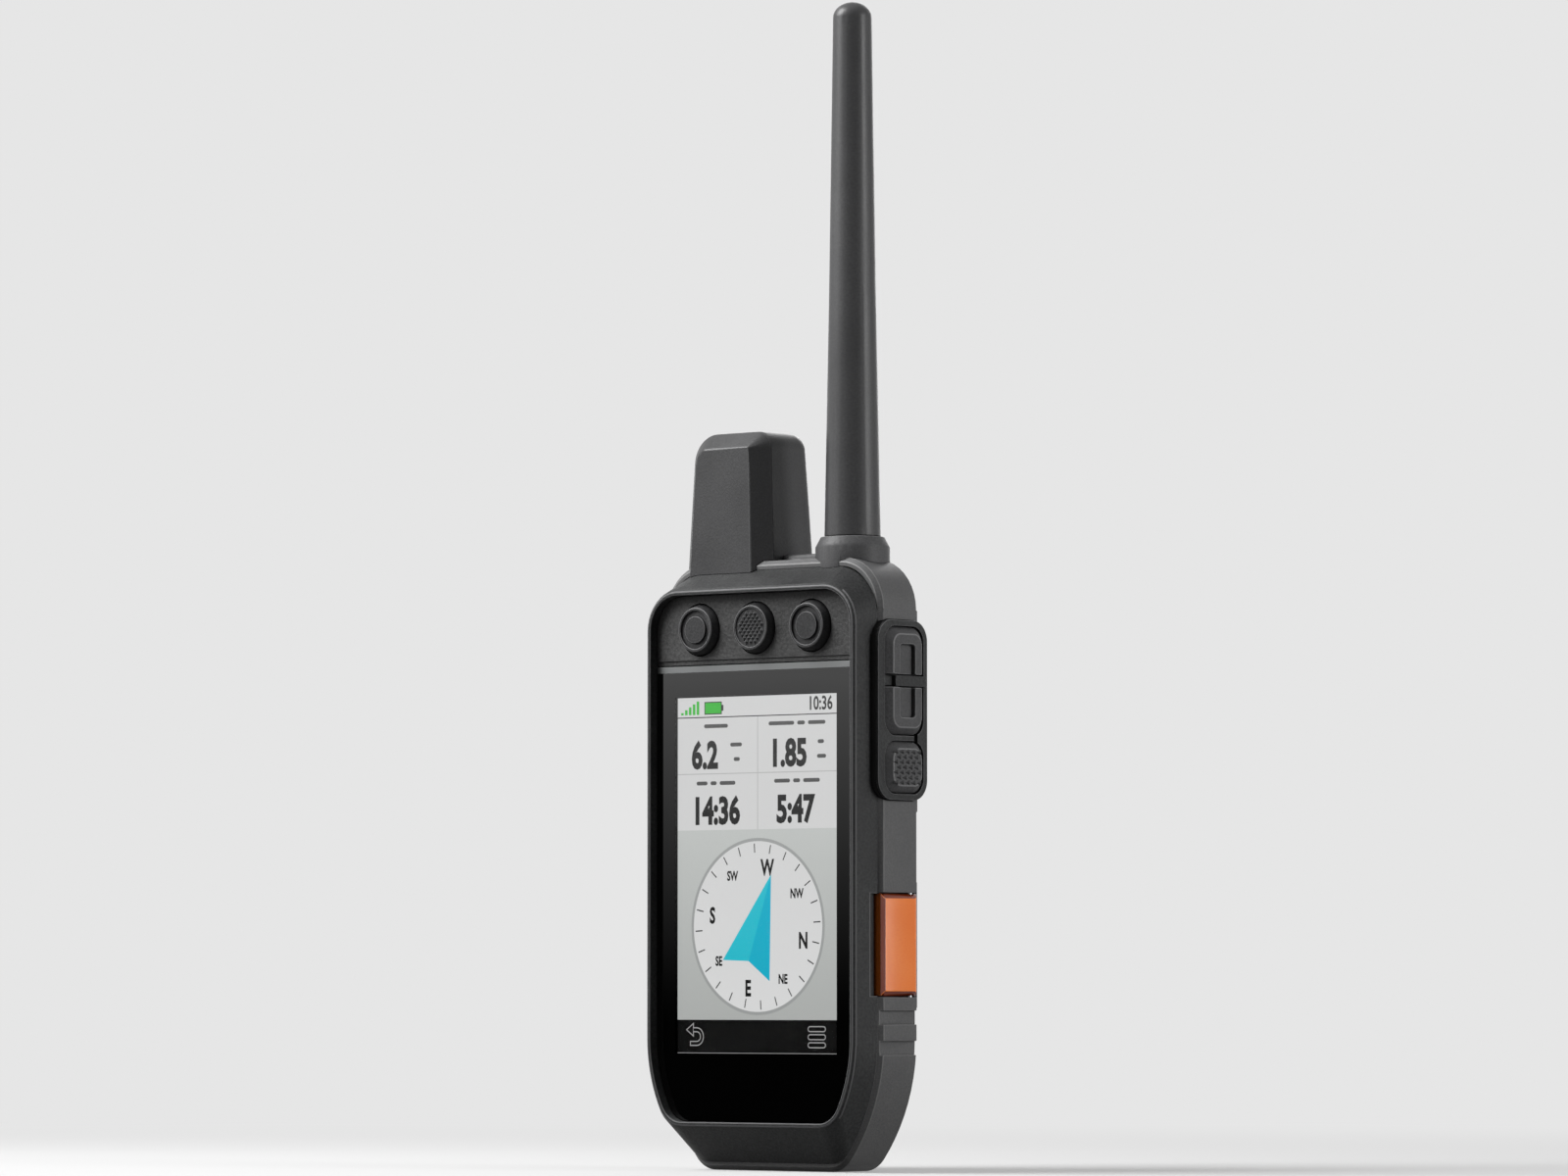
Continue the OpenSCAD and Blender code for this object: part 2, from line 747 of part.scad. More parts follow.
// Low step on the band's top between the two antennas
module antenna_step() {
    top = body_h + step_h;
    difference() {
        on_side(dome_x + dome_w / 2 + seat_gap, whip_x)
            polygon([[step_y, body_h - root], [step_y, top - step_edge], [step_y + step_edge, top],
                     [rear_seam_d, top], [rear_seam_d, body_h - root]]);
        at_whip() translate([0, 0, body_h - cut])
            cylinder(d = collar_d + 2 * seat_gap, h = step_h + 2 * cut);
    }
}

// Block behind one room of the keys or the flap, spread by d past the room
module room_block(room, d, y0, y1, x1) {
    block([room[2] - d, y0, room[0] - d], [x1, y1, room[1] + d]);
}

// Course of the rear seal, made wider by gap on each side
module seal_course(gap, y0, y1) {
    outer = seal_inset - gap;
    inner = seal_inset + seal_w + gap;
    difference() {
        plate(band_o, y0, y1, outer);
        plate(band_o, y0 - cut, y1 + cut, inner);
        for (room = seal_rooms) room_block(room, seal_land, y0 - cut, y1 + cut, side_x);
    }
    for (room = seal_rooms) difference() {
        room_block(room, seal_land + seal_w + gap, y0, y1, side_x - outer);
        room_block(room, seal_land - gap, y0 - cut, y1 + cut, side_x);
    }
}

// Ribs round those rooms that carry the seal
module seal_ribs(y0, y1) {
    for (room = seal_rooms) room_block(room, 2 * seal_land + seal_w, y0, y1, side_in_x + root);
}

module pin_hole() {
    reach = move_gap + pin_seat + seat_gap;
    translate([pin_x, pin_y, flap_z - reach]) cylinder(d = pin_d + 2 * pin_gap, h = flap_h + 2 * reach);
}

module rear_housing() color("#2c2c2d") {
    t = (cavity_back_y - rear_seam_d) / (back_d - rear_seam_d);
    difference() {
        union() {
            difference() {
                rear_outer();
                loft([[band_o, rear_seam_d - cut, wall + rear_step],
                      [band_o, rear_seam_d, wall + rear_step],
                      [mix(band_o, back_o, t), cavity_back_y, wall + rear_step]]);
            }
            block([-bay_w / 2 - bay_wall, bay_y - bay_wall, bay_z - bay_wall],
                  [bay_w / 2 + bay_wall, cavity_back_y + cut, bay_top_z + bay_wall]);
            screw_columns(screw_boss_d, board_back_y, rear_seam_d + root);
            intersection() {
                screw_columns(screw_boss_d, rear_seam_d, cavity_back_y + root);
                rear_outer();
            }
            bezel_pad();
            seal_ribs(rear_seam_d, rear_seam_d + wall);
        }
        cover_pocket();
        block([-bay_w / 2, bay_y, bay_z], [bay_w / 2, back_d + cut, bay_top_z]);
        latch_slot();
        cap_recess();
        block([usb_x - usb_w / 2 - seat_gap, cavity_back_y - cut, usb_z - usb_h / 2 - seat_gap],
              [usb_x + usb_w / 2 + seat_gap, back_d, usb_z + usb_h / 2 + seat_gap]);
        screw_columns(screw_d + 2 * seat_gap, board_back_y - cut, screw_head_y + cut);
        screw_columns(screw_head_d + 6 * seat_gap, screw_head_y, back_d + cut);
        key_pocket(seat_gap);
        flap_room();
        key_stem_relief();
    }
}

// Pad behind the band that carries the rear edge of the key surround
module bezel_pad() {
    difference() {
        on_side(side_in_x - bezel_pad_t, key_floor_x)
            round_rect(bezel_y, bezel_back_y, bezel_z, bezel_top_z, bezel_r);
        block([0, bezel_y - cut, bezel_z - cut], [side_x, rear_seam_d, bezel_top_z + cut]);
    }
}

// Keeps the pad and shell clear of the keys' collars
module key_stem_relief() {
    for (z = key_stem_zs)
        to_right(side_in_x - wall - cut, key_mid_y, z)
            cylinder(d = key_collar_d + 2 * move_gap, h = wall + cut);
}

module cover_pocket() {
    difference() {
        plate(back_o, pocket_y, back_d + cut, pocket_inset);
        block([-back_w, pocket_y - cut, cover_top_z], [back_w, back_d + 2 * cut, body_h]);
    }
}

module latch_slot() {
    to_back(0, latch_floor_y, latch_z) cylinder(d = latch_clip_d + 4 * move_gap, h = pocket_d);
    to_back(0, latch_bar_y - cut, latch_z)
        cylinder(d = latch_bar + 4 * move_gap, h = latch_bar_t + cut + latch_bar_play);
    to_back(0, latch_bar_y, latch_z)
        cylinder(d = latch_shaft_d + 2 * move_gap, h = pocket_y - latch_bar_y);
    block([-latch_bar / 2 - move_gap, latch_bar_y, latch_z - latch_bar_w / 2 - move_gap],
          [latch_bar / 2 + move_gap, pocket_y, latch_z + latch_bar_w / 2 + move_gap]);
}

module cap_recess() {
    block([cap_left, cap_floor_y, cap_z], [side_x, back_d + cut, body_h + cut]);
}

// Satellite antenna

// Upright ring of the housing at depth y, drawn in by d and tilted back by lean at its top
function dome_ring(y, d, lean) =
    let (foot = body_h - dome_foot - d,
         foot_half = dome_w / 2 - d + dome_draft * dome_foot / dome_h,
         half = dome_w / 2 - d - dome_draft,
         right_r = max(dome_right_r - d, corner_min),
         left_r = max(dome_left_r - d, corner_min),
         top = dome_top_z - d)
    [for (p = concat(arc([half - right_r, top - right_r], right_r, 90, 0),
                     [[foot_half, foot], [-foot_half, foot]],
                     arc([left_r - half, top - left_r], left_r, 180, 90)))
        [p.x + dome_x, y + lean * (p.y - body_h) / dome_h, p.y]];

// Housing with walls drawn in by d: a chamfered front face, upright sides and a rounded back
module dome_body(d) {
    front = d - dome_front_d;
    back = dome_back_d - d;
    skin_over(concat(
        [dome_ring(front, d + dome_edge, dome_draft / 2), dome_ring(front + dome_edge, d, dome_draft / 2)],
        [for (a = [0:22.5:90])
            dome_ring(back - dome_back_r * (1 - sin(a)), d + dome_back_r * (1 - cos(a)), -dome_draft)]));
}

module antenna_dome() color("#3a3a3b") {
    difference() {
        dome_body(0);
        dome_body(dome_wall);
        body_outer(skin);
    }
}

module helix_antenna() color("#b9b2a0") {
    translate([dome_x, helix_y, body_h]) {
        cylinder(d = helix_base_d, h = helix_base_h);
        cylinder(d = helix_d, h = dome_h - dome_left_r);
    }
}

// Front panel and screen

module button_panel() color("#333334") {
    difference() {
        plate(rim_o, glass_y, glass_back_y, rim_face + seat_gap);
        block([-rim_w, glass_y - cut, -cut], [rim_w, glass_back_y + cut, panel_z + seat_gap]);
        block([-rim_w, glass_y - cut, panel_z], [rim_w, glass_y + panel_lip_d, panel_z + panel_lip_h]);
        for (side = [-1, 0, 1])
            to_back(side * button_pitch, glass_y - cut, button_z)
                cylinder(d = button_d + 2 * move_gap, h = glass_t + 2 * cut);
    }
}

module touch_glass() color("#111214") {
    difference() {
        plate(rim_o, glass_y, glass_back_y, rim_face + seat_gap);
        block([-rim_w, glass_y - cut, panel_z - seat_gap], [rim_w, glass_back_y + cut, body_h]);
    }
}

module lens_gasket() color("#1b1b1b") {
    difference() {
        plate(rim_o, glass_back_y, ledge_y, rim_face + seat_gap);
        plate(rim_o, glass_back_y - cut, ledge_y + cut, rim_face + ledge_w);
        block([-rim_w, glass_back_y - cut, panel_z - seat_gap], [rim_w, ledge_y + cut, body_h]);
    }
}

module lcd_module() color("#9aa0a4") {
    x = screen_w / 2;
    back = glass_back_y + lcd_t;
    difference() {
        block([-x - lcd_border, glass_back_y, screen_z - lcd_border],
              [x + lcd_border, back, screen_top_z + lcd_border]);
        block([-x, back - lcd_dent, screen_z], [x, back + cut, screen_top_z]);
    }
}

// Round front button seen in section, from its stem to its top; the panel's face is at 0
module round_button(side, ring) {
    back = -glass_t - move_gap;
    in = button_proud - groove_d;
    dish = button_dish_d / 2;
    disc = button_disc_d / 2;
    top = ring
        ? [[dish, button_proud], [dish, in], [disc, in], [disc, button_proud], [0, button_proud]]
        : [[dish, button_proud], [dish, button_proud - dish_d], [0, button_proud - dish_d]];
    to_front(side * button_pitch, glass_y, button_z)
        rotate_extrude()
            polygon(concat([[0, back - flange_t - stem_l], [stem_d / 2, back - flange_t - stem_l],
                            [stem_d / 2, back - flange_t], [flange_d / 2, back - flange_t],
                            [flange_d / 2, back], [button_d / 2, back], [button_d / 2, 0],
                            [button_top_d / 2, button_proud]], top));
}

module left_button() color("#2b2b2c") round_button(-1, true);
module center_button() color("#2b2b2c") round_button(0, false);
module right_button() color("#2b2b2c") round_button(1, true);

module button_mat() color("#55585a") {
    x = button_pitch + switch_w;
    block([-x, mat_y, button_z - switch_w], [x, mat_y + mat_t, button_z + switch_w]);
    for (side = [-1, 0, 1])
        to_back(side * button_pitch, mat_y + mat_t, button_z)
            cylinder(d = mat_post_d, h = board_y - switch_t - mat_y - mat_t);
}

module front_switches() color("#c8c2b0") {
    for (side = [-1, 0, 1]) {
        x = side * button_pitch;
        block([x - switch_w / 2, board_y - switch_t, button_z - switch_w / 2],
              [x + switch_w / 2, board_y, button_z + switch_w / 2]);
    }
}

// Side keys

module key_holes(gap) {
    round_rect(key_y - gap, key_back_y + gap, pair_z - gap, pair_top_z + gap, key_r + gap);
    round_rect(key_y - gap, key_back_y + gap, power_z - gap, power_top_z + gap, key_r + gap);
}

module key_gasket() color("#0c0c0c") {
    difference() {
        on_side(key_floor_x, bezel_x - bezel_t)
            round_rect(bezel_y, bezel_back_y, bezel_z, bezel_top_z, bezel_r);
        on_side(key_floor_x - cut, bezel_x) key_holes(move_gap);
    }
}

// Surround with a web between the scroll keys that is lower at the front, and a notch above the power key
module key_bezel() color("#3c3c3d") {
    low_x = bezel_x - bezel_t;
    difference() {
        on_side(low_x, bezel_x)
            round_rect(bezel_y, bezel_back_y, bezel_z, bezel_top_z, bezel_r);
        on_side(low_x - cut, bezel_x + cut) key_holes(move_gap);
        block([low_x - cut, web_notch_y, power_top_z], [bezel_x + cut, web_notch_y + web_notch_w, pair_z]);
    }
    block([low_x, key_y + web_front, web_z + move_gap],
          [bezel_x + web_proud, key_back_y + move_gap + root, web_z + web_h - move_gap]);
    block([key_floor_x + seat_gap, key_y - move_gap + seat_gap, web_z + move_gap],
          [low_x, key_back_y + move_gap - seat_gap, web_z + web_h - move_gap]);
}

// Ring of a key's outline at depth x, drawn in by d
function key_ring(x, z0, z1, d) =
    let (r = key_r - d / 2,
         y0 = key_y + d + r,
         y1 = key_back_y - d - r)
    [for (p = concat(arc([y1, z1 - d - r], r, 0, 90), arc([y0, z1 - d - r], r, 90, 180),
                     arc([y0, z0 + d + r], r, 180, 270), arc([y1, z0 + d + r], r, 270, 360)))
        [x, p.x, p.y]];

// Key with sloped edges between two heights
module key_body(z0, z1) {
    skin_over([key_ring(key_bottom_x, z0, z1, 0),
               key_ring(key_face_x - key_edge, z0, z1, 0),
               key_ring(key_face_x, z0, z1, key_edge)]);
}

// Stem that passes the band's wall, with a collar that keeps the key in
module key_stem(z) {
    to_right(key_stem_x, key_mid_y, z) cylinder(d = key_stem_d, h = key_bottom_x - key_stem_x + root);
    to_right(key_collar_x, key_mid_y, z) cylinder(d = key_collar_d, h = key_collar_t);
}

// One half of the scroll pair: the pair without the stretch from z0 to z1
module scroll_key(z0, z1) {
    border = key_edge + window_border;
    difference() {
        key_body(pair_z, pair_top_z);
        block([key_floor_x, key_y - cut, z0], [key_face_x + cut, key_back_y + cut, z1]);
        on_side(key_face_x - window_d, key_face_x + cut)
            round_rect(key_y + border, key_back_y - border, pair_z + border, pair_top_z - border, window_r);
    }
}

module up_key() color("#333334") {
    scroll_key(pair_z - cut, web_z + web_h);
    key_stem(key_stem_zs[0]);
}

module down_key() color("#333334") {
    scroll_key(web_z, pair_top_z + cut);
    key_stem(key_stem_zs[1]);
}

module power_key() color("#333334") {
    key_body(power_z, power_top_z);
    key_stem(key_stem_zs[2]);
}

module side_board() color("#1f5a3a") {
    block([side_board_x, key_mid_y - side_board_w / 2, sos_z - sos_h / 2 - side_board_foot],
          [side_board_x + side_board_t, key_mid_y + side_board_w / 2, pair_top_z]);
}

module side_switches() color("#c8c2b0") {
    w = side_switch_w / 2;
    for (p = [for (z = key_stem_zs) [key_mid_y, z], [sos_y, sos_z]]) {
        block([side_switch_x, p.x - w, p.y - w],
              [side_switch_x + side_switch_t - plunger_t, p.x + w, p.y + w]);
        to_right(side_switch_x, p.x, p.y) cylinder(d = plunger_d, h = side_switch_t);
    }
}

// Emergency flap and its button

module sos_shape(gap) {
    round_rect(sos_y - sos_w / 2 - gap, sos_y + sos_w / 2 + gap,
               sos_z - sos_h / 2 - gap, sos_z + sos_h / 2 + gap, sos_r + gap);
}

module sos_cap() color("#e8752a") {
    inner_x = flap_floor_x + move_gap;
    edge_x = flap_x - flap_edge;
    difference() {
        union() {
            hull() {
                block([edge_x - skin, flap_y, flap_z], [edge_x, pin_y, flap_top_z]);
                block([flap_x - skin, flap_y + flap_edge, flap_z + flap_edge],
                      [flap_x, pin_y, flap_top_z - flap_edge]);
            }
            block([inner_x, flap_y, flap_z], [edge_x, pin_y, flap_top_z]);
            translate([pin_x, pin_y, flap_z]) cylinder(r = knuckle_r, h = flap_h);
        }
        block([inner_x - cut, flap_y + flap_skirt, flap_z + flap_skirt],
              [flap_x - flap_t, pin_y - pin_in, flap_top_z - flap_skirt]);
        translate([pin_x, pin_y, flap_z - cut]) cylinder(d = pin_d + 2 * pin_gap, h = flap_h + 2 * cut);
        knuckle_chamfer();
    }
}

// Trims the knuckle's upper and lower outer edges in line with the flap's chamfer
module knuckle_chamfer() {
    for (m = [0, 1])
        translate([0, 0, m * (flap_z + flap_top_z)])
            mirror([0, 0, m])
                on_back(pin_y - 2 * pin_in, pin_y + 2 * pin_in)
                    polygon([[flap_x - flap_edge, flap_z], [flap_x + cut, flap_z - cut],
                             [flap_x + cut, flap_z + flap_edge + cut], [flap_x, flap_z + flap_edge]]);
}

module sos_hinge_pin() color("#b8babd") {
    reach = move_gap + pin_seat;
    translate([pin_x, pin_y, flap_z - reach]) cylinder(d = pin_d, h = flap_h + 2 * reach);
}

module sos_button() color("#b3301f") {
    on_side(sos_flange_x, sos_top_x) sos_shape(0);
    on_side(sos_flange_x, sos_flange_x + sos_flange_t) sos_shape(sos_flange);
}

// Whip antenna

module at_whip() { translate([whip_x, whip_back_d, 0]) children(); }

module antenna_collar() color("#353536") {
    r = collar_d / 2;
    bore = coupling_d / 2 + seat_gap;
    low = body_h - collar_foot;
    difference() {
        at_whip() rotate_extrude()
            polygon([[bore, low], [r, low], [r, collar_top_z - collar_edge_h],
                     [r - collar_edge_w, collar_top_z], [bore, collar_top_z]]);
        body_outer(skin);
    }
}

module antenna_connector() color("#c9a552") {
    nut_z = body_h - wall - nut_gap - nut_t;
    at_whip() {
        translate([0, 0, nut_z - nut_end]) cylinder(d = coupling_d, h = coupling_top_z - nut_z + nut_end);
        translate([0, 0, nut_z]) cylinder(d = nut_d, h = nut_t, $fn = 6);
    }
}

module antenna_seal() color("#161616") {
    at_whip() translate([0, 0, collar_top_z + o_ring_d / 2])
        rotate_extrude() translate([o_ring_r, 0]) circle(d = o_ring_d);
}

module antenna_element() color("#c9a552") {
    at_whip() translate([0, 0, coupling_top_z])
        cylinder(d = core_d, h = whip_top_z - whip_dome_h - whip_wall - 2 * seat_gap - coupling_top_z);
}

module whip_antenna() color("#3d3d3e") {
    tip_z = whip_top_z - whip_dome_h;
    dome = [for (i = [1:arc_steps])
        let (a = 90 * i / arc_steps) [whip_tip_d / 2 * cos(a), tip_z + whip_dome_h * sin(a)]];
    bore = core_d / 2 + seat_gap;
    bore_top = tip_z - whip_wall;
    socket = coupling_d / 2 + seat_gap;
    socket_top = coupling_top_z + 3 * seat_gap;
    groove = o_ring_d / 2 + seat_gap;
    at_whip() rotate_extrude()
        polygon(concat([[socket, whip_z], [o_ring_r - groove, whip_z],
                        [o_ring_r - groove, whip_z + o_ring_d], [o_ring_r + groove, whip_z + o_ring_d],
                        [o_ring_r + groove, whip_z], [whip_foot_d / 2, whip_z],
                        [whip_mid_d / 2, whip_mid_z], [whip_tip_d / 2, tip_z]],
                       dome,
                       [[0, bore_top], [bore, bore_top], [bore, socket_top], [socket, socket_top]]));
}

// Boards and other inner pieces

module main_board() color("#1f5a3a") {
    difference() {
        plate(band_o, board_y, board_back_y, wall + board_gap);
        block([side_board_x - board_gap, board_y - cut, flap_z - 2 * flap_block_rim],
              [side_x, board_back_y + cut, pair_top_z + flap_block_rim]);
        screw_columns(screw_d + 4 * seat_gap, board_y - cut, board_back_y + cut);
    }
}

module board_shields() color("#b8babd") {
    for (s = shields)
        translate([s[0] * band_w, board_back_y, s[1] * body_h])
            cube([s[2] * band_w, shield_t, s[3] * body_h]);
}

module buzzer() color("#1b1b1b") {
    to_back(buzzer_x, board_back_y, buzzer_z) difference() {
        cylinder(d = buzzer_d, h = buzzer_t);
        translate([0, 0, buzzer_t - buzzer_hole_t]) cylinder(d = buzzer_hole_d, h = buzzer_hole_t + cut);
    }
}

module housing_seal() color("#1b1b1b") seal_course(0, rear_seam_d - seal_t, rear_seam_d);

module housing_screws() color("#8d9094") {
    for (s = screw_spots) difference() {
        union() {
            to_back(s.x, screw_tip_y, s.y) cylinder(d = screw_d, h = screw_head_y - screw_tip_y);
            to_back(s.x, screw_head_y, s.y) cylinder(d = screw_head_d, h = screw_head_t);
        }
        to_back(s.x, screw_head_y + screw_head_t - screw_drive_t, s.y)
            cylinder(d = screw_drive_d, h = screw_drive_t + cut, $fn = 6);
    }
}

module battery_pack() color("#26282b") {
    translate([0, 0, battery_z])
        linear_extrude(battery_h)
            round_rect(-battery_w / 2, battery_w / 2, bay_y, bay_y + battery_t, battery_r);
}

// Block with three springs that touch the battery's upper end
module battery_contacts() color("#c9a552") {
    z = battery_z + battery_h;
    w = contact_w / 2;
    block([-contact_block.x / 2, bay_y, z + contact_spring],
          [contact_block.x / 2, bay_y + contact_block.y, bay_top_z]);
    for (x = contact_xs)
        block([x - w, bay_y + w, z], [x + w, bay_y + contact_block.y - w, z + contact_spring]);
}

// Battery cover, its latch and its spine

module battery_cover() color("#303031") {
    difference() {
        plate(back_o, cover_y, cover_back_y, pocket_inset + move_gap);
        block([-back_w, cover_y - cut, cover_top_z - move_gap], [back_w, cover_back_y + cut, body_h]);
        to_back(0, cover_y - cut, latch_z)
            cylinder(d = latch_shoulder_d + 2 * pin_gap, h = cover_t + 2 * cut);
        to_back(0, cover_y + latch_ledge_t, latch_z) cylinder(d = latch_d + 2 * pin_gap, h = cover_t);
        gasket_frame(seat_gap, cover_y - cut, cover_y + gasket_groove);
    }
}

// Frame round the battery bay, made wider by gap on each side
module gasket_frame(gap, y0, y1) {
    out = gasket_out + gap;
    in = gasket_w - gasket_out + gap;
    difference() {
        block([-bay_w / 2 - out, y0, bay_z - out], [bay_w / 2 + out, y1, bay_top_z + out]);
        block([-bay_w / 2 + in, y0 - cut, bay_z + in], [bay_w / 2 - in, y1 + cut, bay_top_z - in]);
    }
}

module cover_gasket() color("#1b1b1b") gasket_frame(0, pocket_y + seat_gap, cover_y + gasket_groove);

module mounting_spine() color("#1f1f20") {
    head_y = cover_back_y + spine_d - spine_head_t;
    block([-spine_neck_w / 2, cover_back_y, spine_z],
          [spine_neck_w / 2, head_y + spine_root, spine_z + spine_h]);
    on_back(head_y, cover_back_y + spine_d)
        round_rect(-spine_w / 2, spine_w / 2, spine_z, spine_z + spine_h, spine_r);
}

module latch_hub() color("#3c3c3d") {
    room = ring_t / 2 + ring_play;
    shoulder_y = cover_y - 2 * seat_gap;
    difference() {
        union() {
            to_back(0, latch_head_y, latch_z) cylinder(d = latch_d, h = latch_head_t);
            to_back(0, shoulder_y, latch_z)
                cylinder(d = latch_shoulder_d, h = latch_head_y - shoulder_y + seat_gap);
            to_back(0, latch_bar_y, latch_z) cylinder(d = latch_shaft_d, h = cover_y - latch_bar_y);
            block([-latch_bar / 2, latch_bar_y, latch_z - latch_bar_w / 2],
                  [latch_bar / 2, latch_bar_y + latch_bar_t, latch_z + latch_bar_w / 2]);
        }
        difference() {
            to_back(0, ring_y - room, latch_z) cylinder(r = ring_r + move_gap, h = latch_head_t);
            block([-latch_d, ring_y - ring_t, latch_z + ring_bar_d / 2 + move_gap],
                  [latch_d, latch_face_y + cut, latch_z + latch_d]);
        }
        to_right(-ring_bar_l / 2 - seat_gap, ring_y, latch_z)
            cylinder(d = ring_bar_d + 2 * pin_gap, h = ring_bar_l + 2 * seat_gap);
    }
}

module latch_ring() color("#8d9094") {
    arm_y = ring_y - ring_t / 2;
    difference() {
        to_back(0, arm_y, latch_z) cylinder(r = ring_r, h = ring_t);
        to_back(0, arm_y - cut, latch_z) cylinder(r = ring_r - ring_w, h = ring_t + 2 * cut);
        block([-latch_d, arm_y - cut, latch_z], [latch_d, arm_y + ring_t + cut, latch_z + latch_d]);
    }
    to_right(-ring_bar_l / 2, ring_y, latch_z) cylinder(d = ring_bar_d, h = ring_bar_l);
}

module latch_clip() color("#b8babd") {
    to_back(0, pocket_y - latch_clip_t, latch_z) difference() {
        cylinder(d = latch_clip_d, h = latch_clip_t);
        translate([0, 0, -cut]) cylinder(d = latch_shaft_d + 2 * seat_gap, h = latch_clip_t + 2 * cut);
    }
}

// Weather cap and the charging socket under it

// Cap that follows the shell's skin, with a finger notch in its edge
module weather_cap() color("#1f1f20") {
    intersection() {
        rear_outer();
        difference() {
            block([cap_pivot_x, cap_floor_y + move_gap, cap_z + move_gap],
                  [side_x, back_d + cut, body_h + cut]);
            block([back_w / 2 - cap_notch_d, cap_floor_y - cut, cap_notch_z - cap_notch_h / 2],
                  [side_x, back_d + cut, cap_notch_z + cap_notch_h / 2]);
        }
    }
}

module port_board() color("#1f5a3a") {
    block([port_board_x[0], port_board_y, usb_z - port_board_h / 2],
          [port_board_x[1], port_board_back_y, usb_z + port_board_h / 2]);
}

// Sheet metal shell with a contact tongue in its mouth
module usb_socket() color("#b8babd") {
    x = usb_w / 2;
    z = usb_h / 2;
    in = usb_sheet;
    tip_y = usb_wall_y - usb_tongue_sink;
    difference() {
        block([usb_x - x, port_board_back_y, usb_z - z], [usb_x + x, usb_wall_y, usb_z + z]);
        block([usb_x - x + in, usb_wall_y - usb_mouth_d, usb_z - z + in],
              [usb_x + x - in, usb_wall_y + cut, usb_z + z - in]);
    }
    block([usb_x - usb_tongue.x / 2, tip_y - usb_tongue.y, usb_z - usb_tongue.z / 2],
          [usb_x + usb_tongue.x / 2, tip_y, usb_z + usb_tongue.z / 2]);
}

front_housing();
mid_frame();
rear_housing();
antenna_dome();
helix_antenna();
button_panel();
touch_glass();
lens_gasket();
lcd_module();
left_button();
center_button();
right_button();
button_mat();
front_switches();
key_gasket();
key_bezel();
up_key();
down_key();
power_key();
side_board();
side_switches();
sos_cap();
sos_hinge_pin();
sos_button();
antenna_collar();
antenna_connector();
antenna_seal();
antenna_element();
whip_antenna();
main_board();
board_shields();
buzzer();
housing_seal();
housing_screws();
battery_pack();
battery_contacts();
battery_cover();
cover_gasket();
mounting_spine();
latch_hub();
latch_ring();
latch_clip();
weather_cap();
port_board();
usb_socket();
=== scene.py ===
import json
from math import cos, pi, radians, sin

import bmesh
import bpy
from mathutils import Matrix, Vector


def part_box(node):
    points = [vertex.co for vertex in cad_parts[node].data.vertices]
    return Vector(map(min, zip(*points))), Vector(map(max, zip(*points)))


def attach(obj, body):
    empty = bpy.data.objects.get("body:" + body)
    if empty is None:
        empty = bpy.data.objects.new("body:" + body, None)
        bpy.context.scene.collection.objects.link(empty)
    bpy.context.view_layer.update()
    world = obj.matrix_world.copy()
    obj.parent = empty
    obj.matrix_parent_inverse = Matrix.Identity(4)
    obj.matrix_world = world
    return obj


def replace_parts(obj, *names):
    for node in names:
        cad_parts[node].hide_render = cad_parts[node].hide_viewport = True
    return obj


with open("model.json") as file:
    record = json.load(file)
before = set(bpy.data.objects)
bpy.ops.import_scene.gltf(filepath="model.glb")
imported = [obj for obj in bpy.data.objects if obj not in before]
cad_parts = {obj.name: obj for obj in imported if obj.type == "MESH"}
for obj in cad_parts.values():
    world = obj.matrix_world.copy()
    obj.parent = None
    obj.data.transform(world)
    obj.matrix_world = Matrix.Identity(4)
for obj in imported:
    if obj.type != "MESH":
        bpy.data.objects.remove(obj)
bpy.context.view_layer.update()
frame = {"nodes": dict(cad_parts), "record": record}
bodyOf = {node: body for body, nodes in frame["record"]["behaviour"]["bodies"].items() for node in nodes}
print("frame loaded:", len(frame["nodes"]), "nodes")


# Small helpers: millimetres in, metres out

def mm(*sizes):
    return sizes[0] / 1000 if len(sizes) == 1 else Vector(sizes) / 1000


def linear(hexColour):
    parts = [int(hexColour[i:i + 2], 16) / 255 for i in (1, 3, 5)]
    return [p / 12.92 if p <= 0.04045 else ((p + 0.055) / 1.055) ** 2.4 for p in parts] + [1]


mixShare, mixFrom, mixTo, mixOut = 0, 6, 7, 2  # sockets of a Mix node for colours


def addNode(tree, kind, settings, sockets):
    node = tree.nodes.new(kind)
    for name, value in settings.items():
        setattr(node, name, value)
    for name, value in sockets.items():
        if isinstance(value, bpy.types.NodeSocket):
            tree.links.new(value, node.inputs[name])
        else:
            node.inputs[name].default_value = value
    return node


# A new material, its node tree, and the piece's own coordinates for the patterns
def startMaterial(name):
    material = bpy.data.materials.new(name)
    material.use_nodes = True
    tree = material.node_tree
    tree.nodes.clear()
    return material, tree, addNode(tree, "ShaderNodeTexCoord", {}, {}).outputs["Object"]


def endMaterial(tree, shader):
    addNode(tree, "ShaderNodeOutputMaterial", {}, {"Surface": shader.outputs[0]})


# Materials

# What all moulded faces share: how fine the grain and the flow cloud break up, where their product is dark
# and light, how far the cloud swings the gloss, and the depth of the grain as a share of its size
mould = {"grainDetail": 2.0, "grainSharp": 0.55, "cloudDetail": 3.0, "cloudSharp": 0.5, "darkAt": 0.1,
         "lightAt": 0.42, "cloudLow": 0.3, "cloudHigh": 0.7, "glossSwing": 0.06, "grainDepth": 0.25}
# painted shade: reach and levels of the ambient-occlusion darkening painted into creases and gaps
creaseShade = {"reachMm": 0.9, "samples": 6, "shut": 0.3, "open": 0.85, "dark": 0.12}
